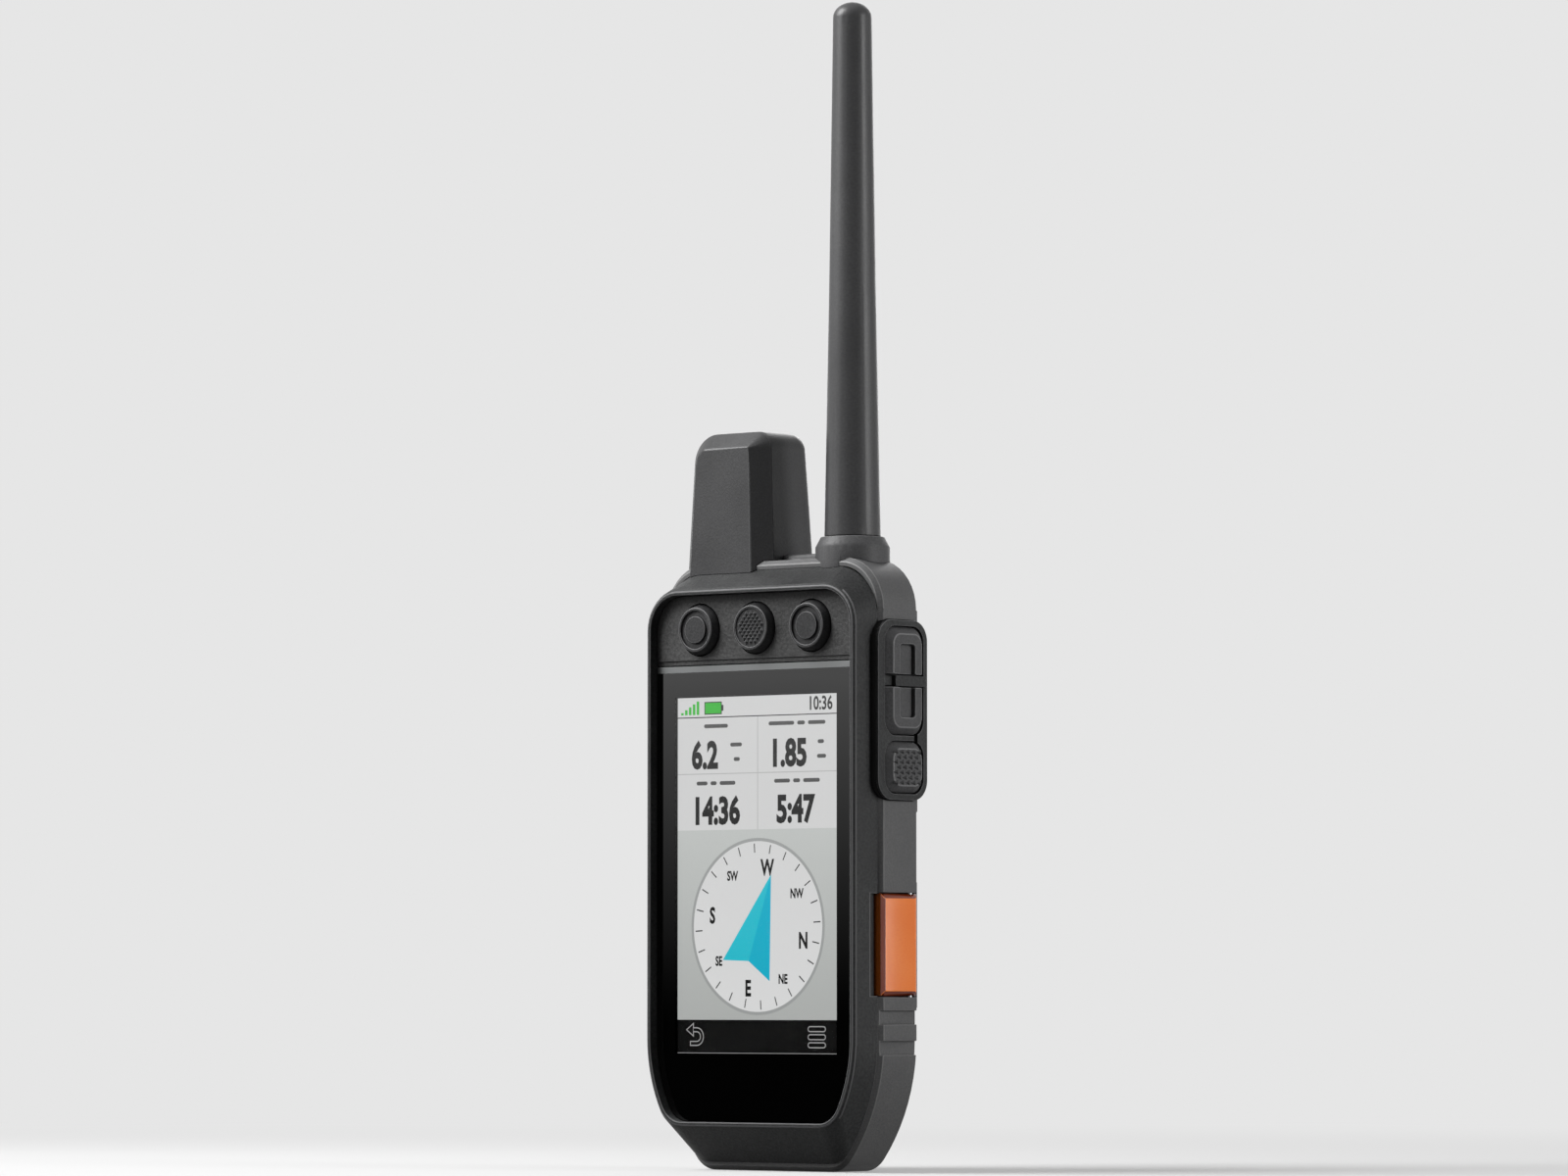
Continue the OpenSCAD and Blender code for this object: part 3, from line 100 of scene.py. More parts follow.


# Moulded plastics and rubbers: the mould's spark-eroded face leaves an even, fine grain that breaks the
# light up, and a slow cloud in the gloss where the melt flowed. The true grain is about 0.1 mm; it is drawn
# a few times coarser so that it shows at this distance. Edges are painted paler, as wear and as a painted
# highlight, and creases and gaps are painted darker as shade.
def moulded(look):
    material, tree, place = startMaterial(look["name"])
    grain = addNode(tree, "ShaderNodeTexNoise", {}, {
        "Vector": place, "Scale": 1 / mm(look["grainMm"]), "Detail": mould["grainDetail"],
        "Roughness": mould["grainSharp"]})
    cloud = addNode(tree, "ShaderNodeTexNoise", {}, {
        "Vector": place, "Scale": 1 / mm(look["cloudMm"]), "Detail": mould["cloudDetail"],
        "Roughness": mould["cloudSharp"]})
    both = addNode(tree, "ShaderNodeMath", {"operation": "MULTIPLY"}, {
        0: grain.outputs["Fac"], 1: cloud.outputs["Fac"]})
    share = addNode(tree, "ShaderNodeMapRange", {}, {
        "Value": both.outputs[0], "From Min": mould["darkAt"], "From Max": mould["lightAt"]})
    colour = addNode(tree, "ShaderNodeMix", {"data_type": "RGBA"}, {
        mixShare: share.outputs[0], mixFrom: linear(look["dark"]), mixTo: linear(look["light"])})
    # painted highlight and wear: marked edge faces take the look's edge colour (on the flap a dark one, as
    # painted shade)
    edgeLightMask = addNode(tree, "ShaderNodeAttribute", {"attribute_name": "paintedEdgeLight"}, {})
    edgePainted = addNode(tree, "ShaderNodeMix", {"data_type": "RGBA"}, {
        mixShare: edgeLightMask.outputs["Fac"], mixFrom: colour.outputs[mixOut], mixTo: linear(look["edge"])})
    # painted shade: the colour is multiplied darker where ambient occlusion finds a crease or gap
    openness = addNode(tree, "ShaderNodeAmbientOcclusion", {"samples": creaseShade["samples"]}, {
        "Distance": mm(creaseShade["reachMm"])})
    depth = addNode(tree, "ShaderNodeMapRange", {}, {
        "Value": openness.outputs["AO"], "From Min": creaseShade["shut"], "From Max": creaseShade["open"],
        "To Min": creaseShade["dark"], "To Max": 1.0})
    shaded = addNode(tree, "ShaderNodeMix", {"data_type": "RGBA", "blend_type": "MULTIPLY"}, {
        mixShare: 1.0, mixFrom: edgePainted.outputs[mixOut], mixTo: depth.outputs[0]})
    gloss = addNode(tree, "ShaderNodeMapRange", {}, {
        "Value": cloud.outputs["Fac"], "From Min": mould["cloudLow"], "From Max": mould["cloudHigh"],
        "To Min": look["rough"] - mould["glossSwing"], "To Max": look["rough"] + mould["glossSwing"]})
    bump = addNode(tree, "ShaderNodeBump", {}, {
        "Strength": look["bump"], "Distance": mm(look["grainMm"]) * mould["grainDepth"],
        "Height": grain.outputs["Fac"]})
    shader = addNode(tree, "ShaderNodeBsdfPrincipled", {}, {
        "Base Color": shaded.outputs[mixOut], "Roughness": gloss.outputs[0], "Normal": bump.outputs[0],
        "IOR": look["ior"], "Specular IOR Level": look["specular"]})
    endMaterial(tree, shader)
    return material


finish = {"detail": 2.0, "glossSwing": 0.08, "bump": 0.15, "speckDepth": 0.2}


# Metals and small inner finishes: a fine streak or speckle over one plain colour
def plainFinish(look):
    material, tree, place = startMaterial(look["name"])
    speck = addNode(tree, "ShaderNodeTexNoise", {}, {
        "Vector": place, "Scale": 1 / mm(look["speckMm"]), "Detail": finish["detail"]})
    colour = addNode(tree, "ShaderNodeMix", {"data_type": "RGBA"}, {
        mixShare: speck.outputs["Fac"], mixFrom: linear(look["dark"]), mixTo: linear(look["light"])})
    gloss = addNode(tree, "ShaderNodeMapRange", {}, {
        "Value": speck.outputs["Fac"], "To Min": look["rough"] - finish["glossSwing"],
        "To Max": look["rough"] + finish["glossSwing"]})
    bump = addNode(tree, "ShaderNodeBump", {}, {
        "Strength": finish["bump"], "Distance": mm(look["speckMm"]) * finish["speckDepth"],
        "Height": speck.outputs["Fac"]})
    shader = addNode(tree, "ShaderNodeBsdfPrincipled", {}, {
        "Base Color": colour.outputs[mixOut], "Roughness": gloss.outputs[0], "Normal": bump.outputs[0],
        "Metallic": look["metallic"]})
    endMaterial(tree, shader)
    return material


shellNylon = moulded({  # glass-filled nylon of the front and rear shells, coarse spark finish, dull
    "name": "glassFilledNylonShell", "dark": "#19191a", "light": "#393a3a", "edge": "#5e5e5f",
    "grainMm": 0.55, "cloudMm": 14, "rough": 0.55, "bump": 0.6, "ior": 1.53, "specular": 0.16})
bandNylon = moulded({  # nylon of the side band, finer mould face, lighter and smoother
    "name": "satinNylonBand", "dark": "#4a4a4b", "light": "#5e5e5e", "edge": "#707070",
    "grainMm": 0.4, "cloudMm": 18, "rough": 0.5, "bump": 0.18, "ior": 1.53, "specular": 0.25})
antennaPlastic = moulded({  # radio-clear polycarbonate blend of the antenna housing, even fine grain
    "name": "fineGrainPolycarbonate", "dark": "#272728", "light": "#373738", "edge": "#484849",
    "grainMm": 0.45, "cloudMm": 16, "rough": 0.44, "bump": 0.3, "ior": 1.58, "specular": 0.2})
collarPlastic = moulded({  # nylon of the collar under the whip, as the band but darker
    "name": "satinNylonCollar", "dark": "#3c3c3d", "light": "#4e4e4f", "edge": "#626263",
    "grainMm": 0.4, "cloudMm": 12, "rough": 0.5, "bump": 0.18, "ior": 1.53, "specular": 0.2})
panelPlastic = moulded({  # button panel, the coarsest grain on the front
    "name": "coarseGrainPolycarbonate", "dark": "#191919", "light": "#444444", "edge": "#5c5c5c",
    "grainMm": 0.6, "cloudMm": 12, "rough": 0.58, "bump": 0.65, "ior": 1.58, "specular": 0.2})
keySilicone = moulded({  # silicone rubber of the front buttons, dry and dull
    "name": "mouldedSiliconeButtons", "dark": "#1c1c1d", "light": "#363637", "edge": "#606061",
    "grainMm": 0.5, "cloudMm": 9, "rough": 0.58, "bump": 0.4, "ior": 1.41, "specular": 0.25})
sideKeyRubber = moulded({  # paler rubber of the side keys and the grips
    "name": "mouldedRubberKeys", "dark": "#3a3a3b", "light": "#525253", "edge": "#747475",
    "grainMm": 0.5, "cloudMm": 9, "rough": 0.58, "bump": 0.4, "ior": 1.45, "specular": 0.3})
sealRubber = moulded({  # black seal rubber, nearly without shine
    "name": "blackSealRubber", "dark": "#060606", "light": "#0d0d0d", "edge": "#101010",
    "grainMm": 0.4, "cloudMm": 8, "rough": 0.7, "bump": 0.3, "ior": 1.5, "specular": 0.15})
capRubber = moulded({  # softer rubber of the weather cap, dry surface
    "name": "softCapRubber", "dark": "#1b1b1c", "light": "#2f2f30", "edge": "#444445",
    "grainMm": 0.5, "cloudMm": 10, "rough": 0.66, "bump": 0.35, "ior": 1.5, "specular": 0.25})
whipRubber = moulded({  # thermoplastic rubber drawn over the whip, satin, faintly grained
    "name": "satinThermoplasticRubber", "dark": "#303031", "light": "#3e3e3f", "edge": "#4a4a4b",
    "grainMm": 0.5, "cloudMm": 24, "rough": 0.4, "bump": 0.15, "ior": 1.5, "specular": 0.3})
flapOrange = moulded({  # tinted polycarbonate of the emergency flap, smooth, its bevels painted darker as shade
    "name": "satinOrangePolycarbonate", "dark": "#fa7a1c", "light": "#ff8826", "edge": "#7a2a04",
    "grainMm": 0.35, "cloudMm": 12, "rough": 0.22, "bump": 0.04, "ior": 1.58, "specular": 0.38})
emergencySilicone = moulded({  # red silicone of the button under the flap
    "name": "redSilicone", "dark": "#8d2216", "light": "#ad3020", "edge": "#c04a38",
    "grainMm": 0.5, "cloudMm": 6, "rough": 0.55, "bump": 0.3, "ior": 1.41, "specular": 0.5})
batteryWrap = moulded({  # shrink wrap of the battery, smooth film
    "name": "batteryShrinkWrap", "dark": "#1c1e21", "light": "#282b2f", "edge": "#3a3d42",
    "grainMm": 1.5, "cloudMm": 15, "rough": 0.3, "bump": 0.1, "ior": 1.5, "specular": 0.5})
groundEdge = moulded({  # ground upper edge of the cover glass
    "name": "groundGlassEdge", "dark": "#606262", "light": "#6e7070", "edge": "#6e7070",
    "grainMm": 0.3, "cloudMm": 10, "rough": 0.5, "bump": 0.1, "ior": 1.5, "specular": 0.3})
maskInk = moulded({  # black ink printed behind the glass, dead matt
    "name": "blackMaskInk", "dark": "#020202", "light": "#040404", "edge": "#040404",
    "grainMm": 0.3, "cloudMm": 20, "rough": 0.9, "bump": 0.0, "ior": 1.5, "specular": 0.0})
satinSteel = plainFinish({  # stamped and tumbled stainless steel
    "name": "tumbledStainlessSteel", "dark": "#7d7f82", "light": "#a3a5a8",
    "speckMm": 0.6, "rough": 0.34, "metallic": 1.0})
turnedBrass = plainFinish({  # turned brass, fine tool marks
    "name": "turnedBrass", "dark": "#a07c3a", "light": "#c8a55a",
    "speckMm": 0.4, "rough": 0.3, "metallic": 1.0})
boardMask = plainFinish({  # solder mask on the circuit boards
    "name": "greenSolderMask", "dark": "#123f28", "light": "#1d5a39",
    "speckMm": 1.2, "rough": 0.4, "metallic": 0.0})
switchNylon = plainFinish({  # natural nylon of the switches
    "name": "naturalNylon", "dark": "#b3ab98", "light": "#cdc6b5",
    "speckMm": 0.8, "rough": 0.5, "metallic": 0.0})
firedCeramic = plainFinish({  # fired ceramic core of the satellite antenna
    "name": "firedCeramic", "dark": "#a49c88", "light": "#c0b8a5",
    "speckMm": 0.7, "rough": 0.6, "metallic": 0.0})

polish = {"smearMm": 22, "detail": 3.0, "cleanAt": 0.35, "smearedAt": 0.75, "clean": 0.015, "smeared": 0.05,
          "ior": 1.5}


# Polished glass with faint smears in its gloss
def polishedGlass(name, colour, clearness):
    material, tree, place = startMaterial(name)
    smear = addNode(tree, "ShaderNodeTexNoise", {}, {
        "Vector": place, "Scale": 1 / mm(polish["smearMm"]), "Detail": polish["detail"]})
    gloss = addNode(tree, "ShaderNodeMapRange", {}, {
        "Value": smear.outputs["Fac"], "From Min": polish["cleanAt"], "From Max": polish["smearedAt"],
        "To Min": polish["clean"], "To Max": polish["smeared"]})
    shader = addNode(tree, "ShaderNodeBsdfPrincipled", {}, {
        "Base Color": linear(colour), "Roughness": gloss.outputs[0], "IOR": polish["ior"],
        "Transmission Weight": clearness})
    endMaterial(tree, shader)
    return material


gel = {"cloudMm": 30, "detail": 1.0, "dark": "#fcfcfc", "light": "#ffffff", "ior": 1.01}


# Clear gel that bonds the glass to the display, so the back of the glass hardly reflects
def bondingGel():
    material, tree, place = startMaterial("opticalBondingGel")
    cloud = addNode(tree, "ShaderNodeTexNoise", {}, {
        "Vector": place, "Scale": 1 / mm(gel["cloudMm"]), "Detail": gel["detail"]})
    tint = addNode(tree, "ShaderNodeMix", {"data_type": "RGBA"}, {
        mixShare: cloud.outputs["Fac"], mixFrom: linear(gel["dark"]), mixTo: linear(gel["light"])})
    shader = addNode(tree, "ShaderNodeBsdfPrincipled", {}, {
        "Base Color": tint.outputs[mixOut], "Roughness": 0.0, "IOR": gel["ior"],
        "Transmission Weight": 1.0})
    endMaterial(tree, shader)
    return material


clearGlass = polishedGlass("polishedCoverGlass", "#fbfcfc", 1.0)  # cover glass over the lit screen
printedGlass = polishedGlass("blackPrintedGlass", "#030303", 0.0)  # cover glass with black print behind it
clearGel = bondingGel()
print("materials made:", len(bpy.data.materials))


# Pieces

def makePiece(name, mesh, materials, body, smoothAngle=35):
    data = bpy.data.meshes.new(name)
    mesh.to_mesh(data)
    mesh.free()
    for material in materials:
        data.materials.append(material)
    data.shade_smooth()
    data.set_sharp_from_angle(angle=radians(smoothAngle))
    piece = bpy.data.objects.new(name, data)
    bpy.context.scene.collection.objects.link(piece)
    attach(piece, body)
    return piece


# room: how many roundings wide a face must be beside a rounded edge
rounding = {"weldMm": 0.002, "flatAngle": 0.6, "sliverMm": 0.02, "room": 1.5, "segments": 2}


# A rounded copy of a CAD node: flat faces are joined up and cut into convex ones, then every outer edge
# sharper than the angle, with room beside it, is rounded and marked for the paler edge paint of wear and a
# painted highlight
def roundedNode(dress):
    mesh = bmesh.new()
    mesh.from_mesh(frame["nodes"][dress["node"]].data)
    edgeLightMask = mesh.faces.layers.float.new("paintedEdgeLight")
    bmesh.ops.remove_doubles(mesh, verts=mesh.verts, dist=mm(rounding["weldMm"]))
    bmesh.ops.dissolve_limit(mesh, angle_limit=radians(rounding["flatAngle"]), verts=mesh.verts,
                             edges=mesh.edges)
    bmesh.ops.dissolve_degenerate(mesh, edges=mesh.edges, dist=mm(rounding["sliverMm"]))
    bmesh.ops.connect_verts_concave(mesh, faces=mesh.faces)
    offset = mm(dress["edgeMm"])
    sharp = [e for e in mesh.edges if e.is_manifold and e.is_convex
             and e.calc_face_angle() > radians(dress["angle"])
             and min(f.calc_area() for f in e.link_faces) > rounding["room"] * offset * e.calc_length()]
    rounds = bmesh.ops.bevel(mesh, geom=sharp, offset=offset, offset_type="OFFSET", affect="EDGES",
                             segments=rounding["segments"], profile=0.5, clamp_overlap=False,
                             material=-1)
    # the rounding faces are marked for the painted edge highlight and wear
    for face in rounds["faces"]:
        face[edgeLightMask] = 1.0
    return mesh


def dressNode(dress, mesh, materials):
    node = dress["node"]
    piece = makePiece(dress["piece"], mesh, materials, bodyOf[node])
    even = piece.modifiers.new("evenShading", "WEIGHTED_NORMAL")
    even.keep_sharp = True
    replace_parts(piece, node)


shellPieces = [
    {"node": "front_housing", "piece": "frontShell", "material": shellNylon,
     "slot": "shell_plastic", "edgeMm": 0.2, "angle": 25},
    {"node": "mid_frame", "piece": "sideBand", "material": bandNylon,
     "slot": "band_plastic", "edgeMm": 0.15, "angle": 25},
    {"node": "rear_housing", "piece": "rearShell", "material": shellNylon,
     "slot": "shell_plastic", "edgeMm": 0.2, "angle": 25},
    {"node": "antenna_dome", "piece": "satelliteDome", "material": antennaPlastic,
     "slot": "antenna_plastic", "edgeMm": 0.3, "angle": 25},
    {"node": "button_panel", "piece": "buttonPanel", "material": panelPlastic,
     "slot": "panel_plastic", "edgeMm": 0.08, "angle": 30},
    {"node": "left_button", "piece": "leftButton", "material": keySilicone,
     "slot": "key_rubber", "edgeMm": 0.15, "angle": 30},
    {"node": "center_button", "piece": "centreButton", "material": keySilicone,
     "slot": "key_rubber", "edgeMm": 0.15, "angle": 30},
    {"node": "right_button", "piece": "rightButton", "material": keySilicone,
     "slot": "key_rubber", "edgeMm": 0.15, "angle": 30},
    {"node": "key_gasket", "piece": "keyGasket", "material": sealRubber,
     "slot": "seal_rubber", "edgeMm": 0.1, "angle": 30},
    {"node": "key_bezel", "piece": "keyBezel", "material": shellNylon,
     "slot": "shell_plastic", "edgeMm": 0.15, "angle": 30},
    {"node": "up_key", "piece": "upKey", "material": sideKeyRubber,
     "slot": "key_rubber", "edgeMm": 0.2, "angle": 30},
    {"node": "down_key", "piece": "downKey", "material": sideKeyRubber,
     "slot": "key_rubber", "edgeMm": 0.2, "angle": 30},
    {"node": "power_key", "piece": "powerKey", "material": sideKeyRubber,
     "slot": "key_rubber", "edgeMm": 0.2, "angle": 30},
    {"node": "sos_button", "piece": "emergencyButton", "material": emergencySilicone,
     "slot": "sos_rubber", "edgeMm": 0.2, "angle": 30},
    {"node": "antenna_collar", "piece": "whipCollar", "material": collarPlastic,
     "slot": "shell_plastic", "edgeMm": 0.15, "angle": 40},
    {"node": "whip_antenna", "piece": "whip", "material": whipRubber,
     "slot": "whip_rubber", "edgeMm": 0.2, "angle": 30},
    {"node": "battery_cover", "piece": "batteryCover", "material": shellNylon,
     "slot": "shell_plastic", "edgeMm": 0.2, "angle": 30},
    {"node": "mounting_spine", "piece": "mountingSpine", "material": shellNylon,
     "slot": "shell_plastic", "edgeMm": 0.25, "angle": 30},
    {"node": "latch_hub", "piece": "latchHub", "material": bandNylon,
     "slot": "shell_plastic", "edgeMm": 0.12, "angle": 30},
    {"node": "latch_ring", "piece": "latchRing", "material": satinSteel,
     "slot": "steel", "edgeMm": 0.15, "angle": 30},
    {"node": "weather_cap", "piece": "weatherCap", "material": capRubber,
     "slot": "cap_rubber", "edgeMm": 0.2, "angle": 30},
]
for dress in shellPieces:
    dressNode(dress, roundedNode(dress), [dress["material"]])
print("outer pieces dressed:", len(shellPieces))

onCut = 1e-7  # metres from a cut at which a corner counts as on it


def cutAcross(mesh, point, normal):
    bmesh.ops.bisect_plane(mesh, geom=mesh.verts[:] + mesh.edges[:] + mesh.faces[:], plane_co=point,
                           plane_no=normal, dist=onCut)


# Emergency flap: its face rolls off towards the thumb edge, and its bevels are painted dark orange as
# shade
flap = {"node": "sos_cap", "piece": "emergencyFlap", "slot": "flap_plastic", "edgeMm": 0.12, "angle": 30,
        "rollMm": 0.6, "rollSteps": 8, "pinInMm": 1.55, "faceMm": 0.2, "bevelLean": 0.3}
flapLow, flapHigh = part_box(flap["node"])
flapMesh = roundedNode(flap)
rollEnd = flapHigh.y - mm(flap["pinInMm"])
rollWide = rollEnd - flapLow.y
for i in range(1, flap["rollSteps"]):
    cutAcross(flapMesh, (0, flapLow.y + rollWide * i / flap["rollSteps"], 0), (0, 1, 0))
for vert in flapMesh.verts:
    if vert.co.x > flapHigh.x - mm(flap["faceMm"]) and vert.co.y < rollEnd:
        vert.co.x -= mm(flap["rollMm"]) * ((rollEnd - vert.co.y) / rollWide) ** 2
flapMesh.normal_update()
flapEdgeLightMask = flapMesh.faces.layers.float["paintedEdgeLight"]
# painted shade: the flap's bevel faces take the dark orange edge colour
for face in flapMesh.faces:
    sideways = max(abs(face.normal.z), -face.normal.y)
    onBevel = face.normal.x > flap["bevelLean"] and sideways > flap["bevelLean"]
    face[flapEdgeLightMask] = 1.0 if onBevel else 0.0
dressNode(flap, flapMesh, [flapOrange])

# Inner pieces keep their CAD meshes
innerFinish = {
    "helix_antenna": firedCeramic, "lens_gasket": sealRubber, "button_mat": keySilicone,
    "front_switches": switchNylon, "side_board": boardMask, "side_switches": switchNylon,
    "sos_hinge_pin": satinSteel, "antenna_connector": turnedBrass, "antenna_seal": sealRubber,
    "antenna_element": turnedBrass, "main_board": boardMask, "board_shields": satinSteel,
    "buzzer": sealRubber, "housing_seal": sealRubber, "housing_screws": satinSteel,
    "battery_pack": batteryWrap, "battery_contacts": turnedBrass, "cover_gasket": sealRubber,
    "latch_clip": satinSteel, "port_board": boardMask, "usb_socket": satinSteel}
for node, material in innerFinish.items():
    data = frame["nodes"][node].data
    data.materials.clear()
    data.materials.append(material)
print("inner pieces finished:", len(innerFinish))

# Display: lit layers just behind the glass, one over the other. On the screen, sizes are in millimetres
# from the lower left corner of the lit area.
display = {"borderMm": 2.6, "gapMm": 0.2, "backMm": 0.16, "layerMm": 0.012, "moduleEdgeMm": 0.2}
lcdLow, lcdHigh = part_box("lcd_module")
glassLow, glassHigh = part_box("touch_glass")
border = mm(display["borderMm"])
screenLow = Vector((lcdLow.x + border, 0, lcdLow.z + border))
screenHigh = Vector((lcdHigh.x - border, 0, lcdHigh.z - border))
screenWidth = (screenHigh.x - screenLow.x) * 1000
screenHeight = (screenHigh.z - screenLow.z) * 1000
fieldLayer, lineLayer, baseLayer, inkLayer, topLayer = range(1, 6)

# Cover glass: the CAD pane with its edge rounded. Its back is bonded to the display inside the window, and
# printed black around it. Its edge is blackened, but for a ground strip along the top. The reaches and the
# normals say which corners and faces count as being there.
glass = {"node": "touch_glass", "piece": "coverGlass", "slot": "cover_glass", "edgeMm": 0.12, "angle": 30,
         "groundMm": 1.3, "topReachMm": 0.03, "frontReachMm": 0.01, "flatNormal": 0.9999,
         "groundUp": 0.02, "groundFront": 0.5}
clearSide, gelSide, inkSide, groundSide, printedSide = range(5)  # the pane's materials, in order
pane = roundedNode(glass)
for vert in pane.verts:
    onTop = abs(vert.co.z - glassHigh.z + mm(glass["edgeMm"])) < mm(glass["topReachMm"])
    if onTop and vert.co.y < glassLow.y + mm(glass["frontReachMm"]):
        vert.co.z -= mm(glass["groundMm"])
pane.normal_update()
for normal in ((1, 0, 0), (0, 0, 1)):
    for corner in (screenLow, screenHigh):
        cutAcross(pane, corner, normal)
for face in pane.faces:
    middle = face.calc_center_median()
    inWindow = screenLow.x < middle.x < screenHigh.x and screenLow.z < middle.z < screenHigh.z
    onGround = face.normal.z > glass["groundUp"] and face.normal.y < -glass["groundFront"]
    if face.normal.y < -glass["flatNormal"]:
        face.material_index = clearSide if inWindow else printedSide
    elif face.normal.y > glass["flatNormal"] and inWindow:
        face.material_index = gelSide
    else:
        face.material_index = groundSide if onGround else inkSide
dressNode(glass, pane, [clearGlass, clearGel, maskInk, groundEdge, printedGlass])

litFace = {"unlit": "#050505", "rough": 0.5, "specular": 0.1, "strength": 1.0}


# Lit surface of the display: a colour that changes up the screen by a small share
def litColour(name, low, high):
    material, tree, place = startMaterial(name)
    height = addNode(tree, "ShaderNodeSeparateXYZ", {}, {0: place}).outputs[2]
    share = addNode(tree, "ShaderNodeMapRange", {}, {
        "Value": height, "From Min": screenLow.z, "From Max": screenHigh.z})
    colour = addNode(tree, "ShaderNodeMix", {"data_type": "RGBA"}, {
        mixShare: share.outputs[0], mixFrom: linear(low), mixTo: linear(high)})
    shader = addNode(tree, "ShaderNodeBsdfPrincipled", {}, {
        "Base Color": linear(litFace["unlit"]), "Roughness": litFace["rough"],
        "Specular IOR Level": litFace["specular"], "Emission Color": colour.outputs[mixOut],
        "Emission Strength": litFace["strength"]})
    endMaterial(tree, shader)
    return material


def litPiece(name, mesh, colourName, low, high):
    makePiece(name, mesh, [litColour(colourName, low, high)], "housing")


def onScreen(x, z, layer):
    y = glassHigh.y + mm(display["backMm"] - display["layerMm"] * layer)
    return Vector((screenLow.x + mm(x), y, screenLow.z + mm(z)))


def addBar(mesh, x0, x1, z0, z1, layer):
    place = Matrix.Translation(onScreen((x0 + x1) / 2, (z0 + z1) / 2, layer))
    size = Matrix.Diagonal((mm(x1 - x0), mm(display["layerMm"]) / 2, mm(z1 - z0), 1))
    bmesh.ops.create_cube(mesh, size=1, matrix=place @ size)


def addDisc(mesh, x, z, r, layer, sides):
    place = Matrix.Translation(onScreen(x, z, layer)) @ Matrix.Rotation(pi / 2, 4, "X")
    bmesh.ops.create_cone(mesh, cap_ends=True, segments=sides, radius1=mm(r), radius2=mm(r),
                          depth=mm(display["layerMm"]) / 2, matrix=place)


def addRoundBar(mesh, x0, x1, z0, z1, layer):
    r = (z1 - z0) / 2
    addBar(mesh, x0 + r, x1 - r, z0, z1, layer)
    for x in (x0 + r, x1 - r):
        addDisc(mesh, x, z0 + r, r, layer, sides=20)


def addPatch(mesh, points, layer):
    face = mesh.faces.new([mesh.verts.new(onScreen(x, z, layer)) for x, z in points])
    grown = bmesh.ops.extrude_face_region(mesh, geom=[face])
    moved = [v for v in grown["geom"] if isinstance(v, bmesh.types.BMVert)]
    bmesh.ops.translate(mesh, verts=moved, vec=(0, mm(display["layerMm"]) / 2, 0))


font = {"capHigh": 0.729, "thick": 0.5, "curveSteps": 3, "weld": 0.0001}  # of the built-in font at size 1


# Letters and figures: text made a thin closed mesh, scaled to its cap height and squeezed, then set on the
# screen
def addText(mesh, words, x, z, heightMm, style, align="CENTER"):
    curve = bpy.data.curves.new("figures", "FONT")
    curve.body = words
    curve.align_x = align
    curve.offset = style["weight"]
    curve.extrude = font["thick"]
    curve.resolution_u = font["curveSteps"]
    holder = bpy.data.objects.new("figures", curve)
    data = bpy.data.meshes.new_from_object(holder)
    part = bmesh.new()
    part.from_mesh(data)
    bmesh.ops.remove_doubles(part, verts=part.verts, dist=font["weld"])
    scale = mm(heightMm) / (font["capHigh"] + 2 * style["weight"])
    size = Matrix.Diagonal((scale * style["squeeze"], scale, mm(display["layerMm"]) / 2, 1))
    bmesh.ops.transform(part, verts=part.verts, matrix=Matrix.Translation(onScreen(x, z, inkLayer))
                        @ Matrix.Rotation(pi / 2, 4, "X") @ size)
    part.to_mesh(data)
    mesh.from_mesh(data)
    part.free()
    bpy.data.objects.remove(holder)
    bpy.data.curves.remove(curve)
    bpy.data.meshes.remove(data)


layout = {"barTop": 7.35, "dataFoot": 49.1, "dataSplit": 61.5, "statusLine": 74.0, "split": screenWidth / 2,
          "hairline": 0.22}
fields = [
    ("dataField", layout["dataFoot"], screenHeight, "litDataField", "#d6d6d6", "#cfcfcf"),
    ("compassField", layout["barTop"], layout["dataFoot"], "litCompassField", "#aaacaa", "#cccfcd"),
    ("menuBar", 0, layout["barTop"], "darkMenuBar", "#060606", "#0a0a0a")]
for name, foot, top, colourName, low, high in fields:
    field = bmesh.new()
    addBar(field, 0, screenWidth, foot, top, fieldLayer)
    litPiece(name, field, colourName, low, high)

hairlines = bmesh.new()
half = layout["hairline"] / 2
addBar(hairlines, 0, screenWidth, layout["dataSplit"] - half, layout["dataSplit"] + half, lineLayer)
addBar(hairlines, layout["split"] - half, layout["split"] + half, layout["dataFoot"], layout["statusLine"],
       lineLayer)
litPiece("cellLines", hairlines, "litCellLines", "#b4b4b4", "#b4b4b4")

# Compass: a plain ring, disc, ticks, points of the wind and an arrow
compass = {"x": screenWidth / 2, "z": 27.8, "ringR": 19.4, "discR": 18.7, "sides": 128,
           "ticks": 24, "tickIn": 16.2, "tickOut": 18.2, "tickWide": 0.26, "turn": -12,
           "letterR": 13.5, "letterMm": 3.9, "smallMm": 2.3, "squeeze": 0.72, "weight": 0.036,
           "arrowTurn": -19, "arrowTip": 12.0, "arrowWing": 7.2, "arrowFoot": -10.2, "arrowNotch": -8.0}


def onDial(r, angle):
    a = radians(angle)
    return compass["x"] + r * sin(-a), compass["z"] + r * cos(a)


ring = bmesh.new()
addDisc(ring, compass["x"], compass["z"], compass["ringR"], lineLayer, compass["sides"])
litPiece("dialRing", ring, "litDialRing", "#9b9d9c", "#a0a2a1")
disc = bmesh.new()
addDisc(disc, compass["x"], compass["z"], compass["discR"], baseLayer, compass["sides"])
litPiece("dialDisc", disc, "litDialDisc", "#dcdcdc", "#d0d0d0")

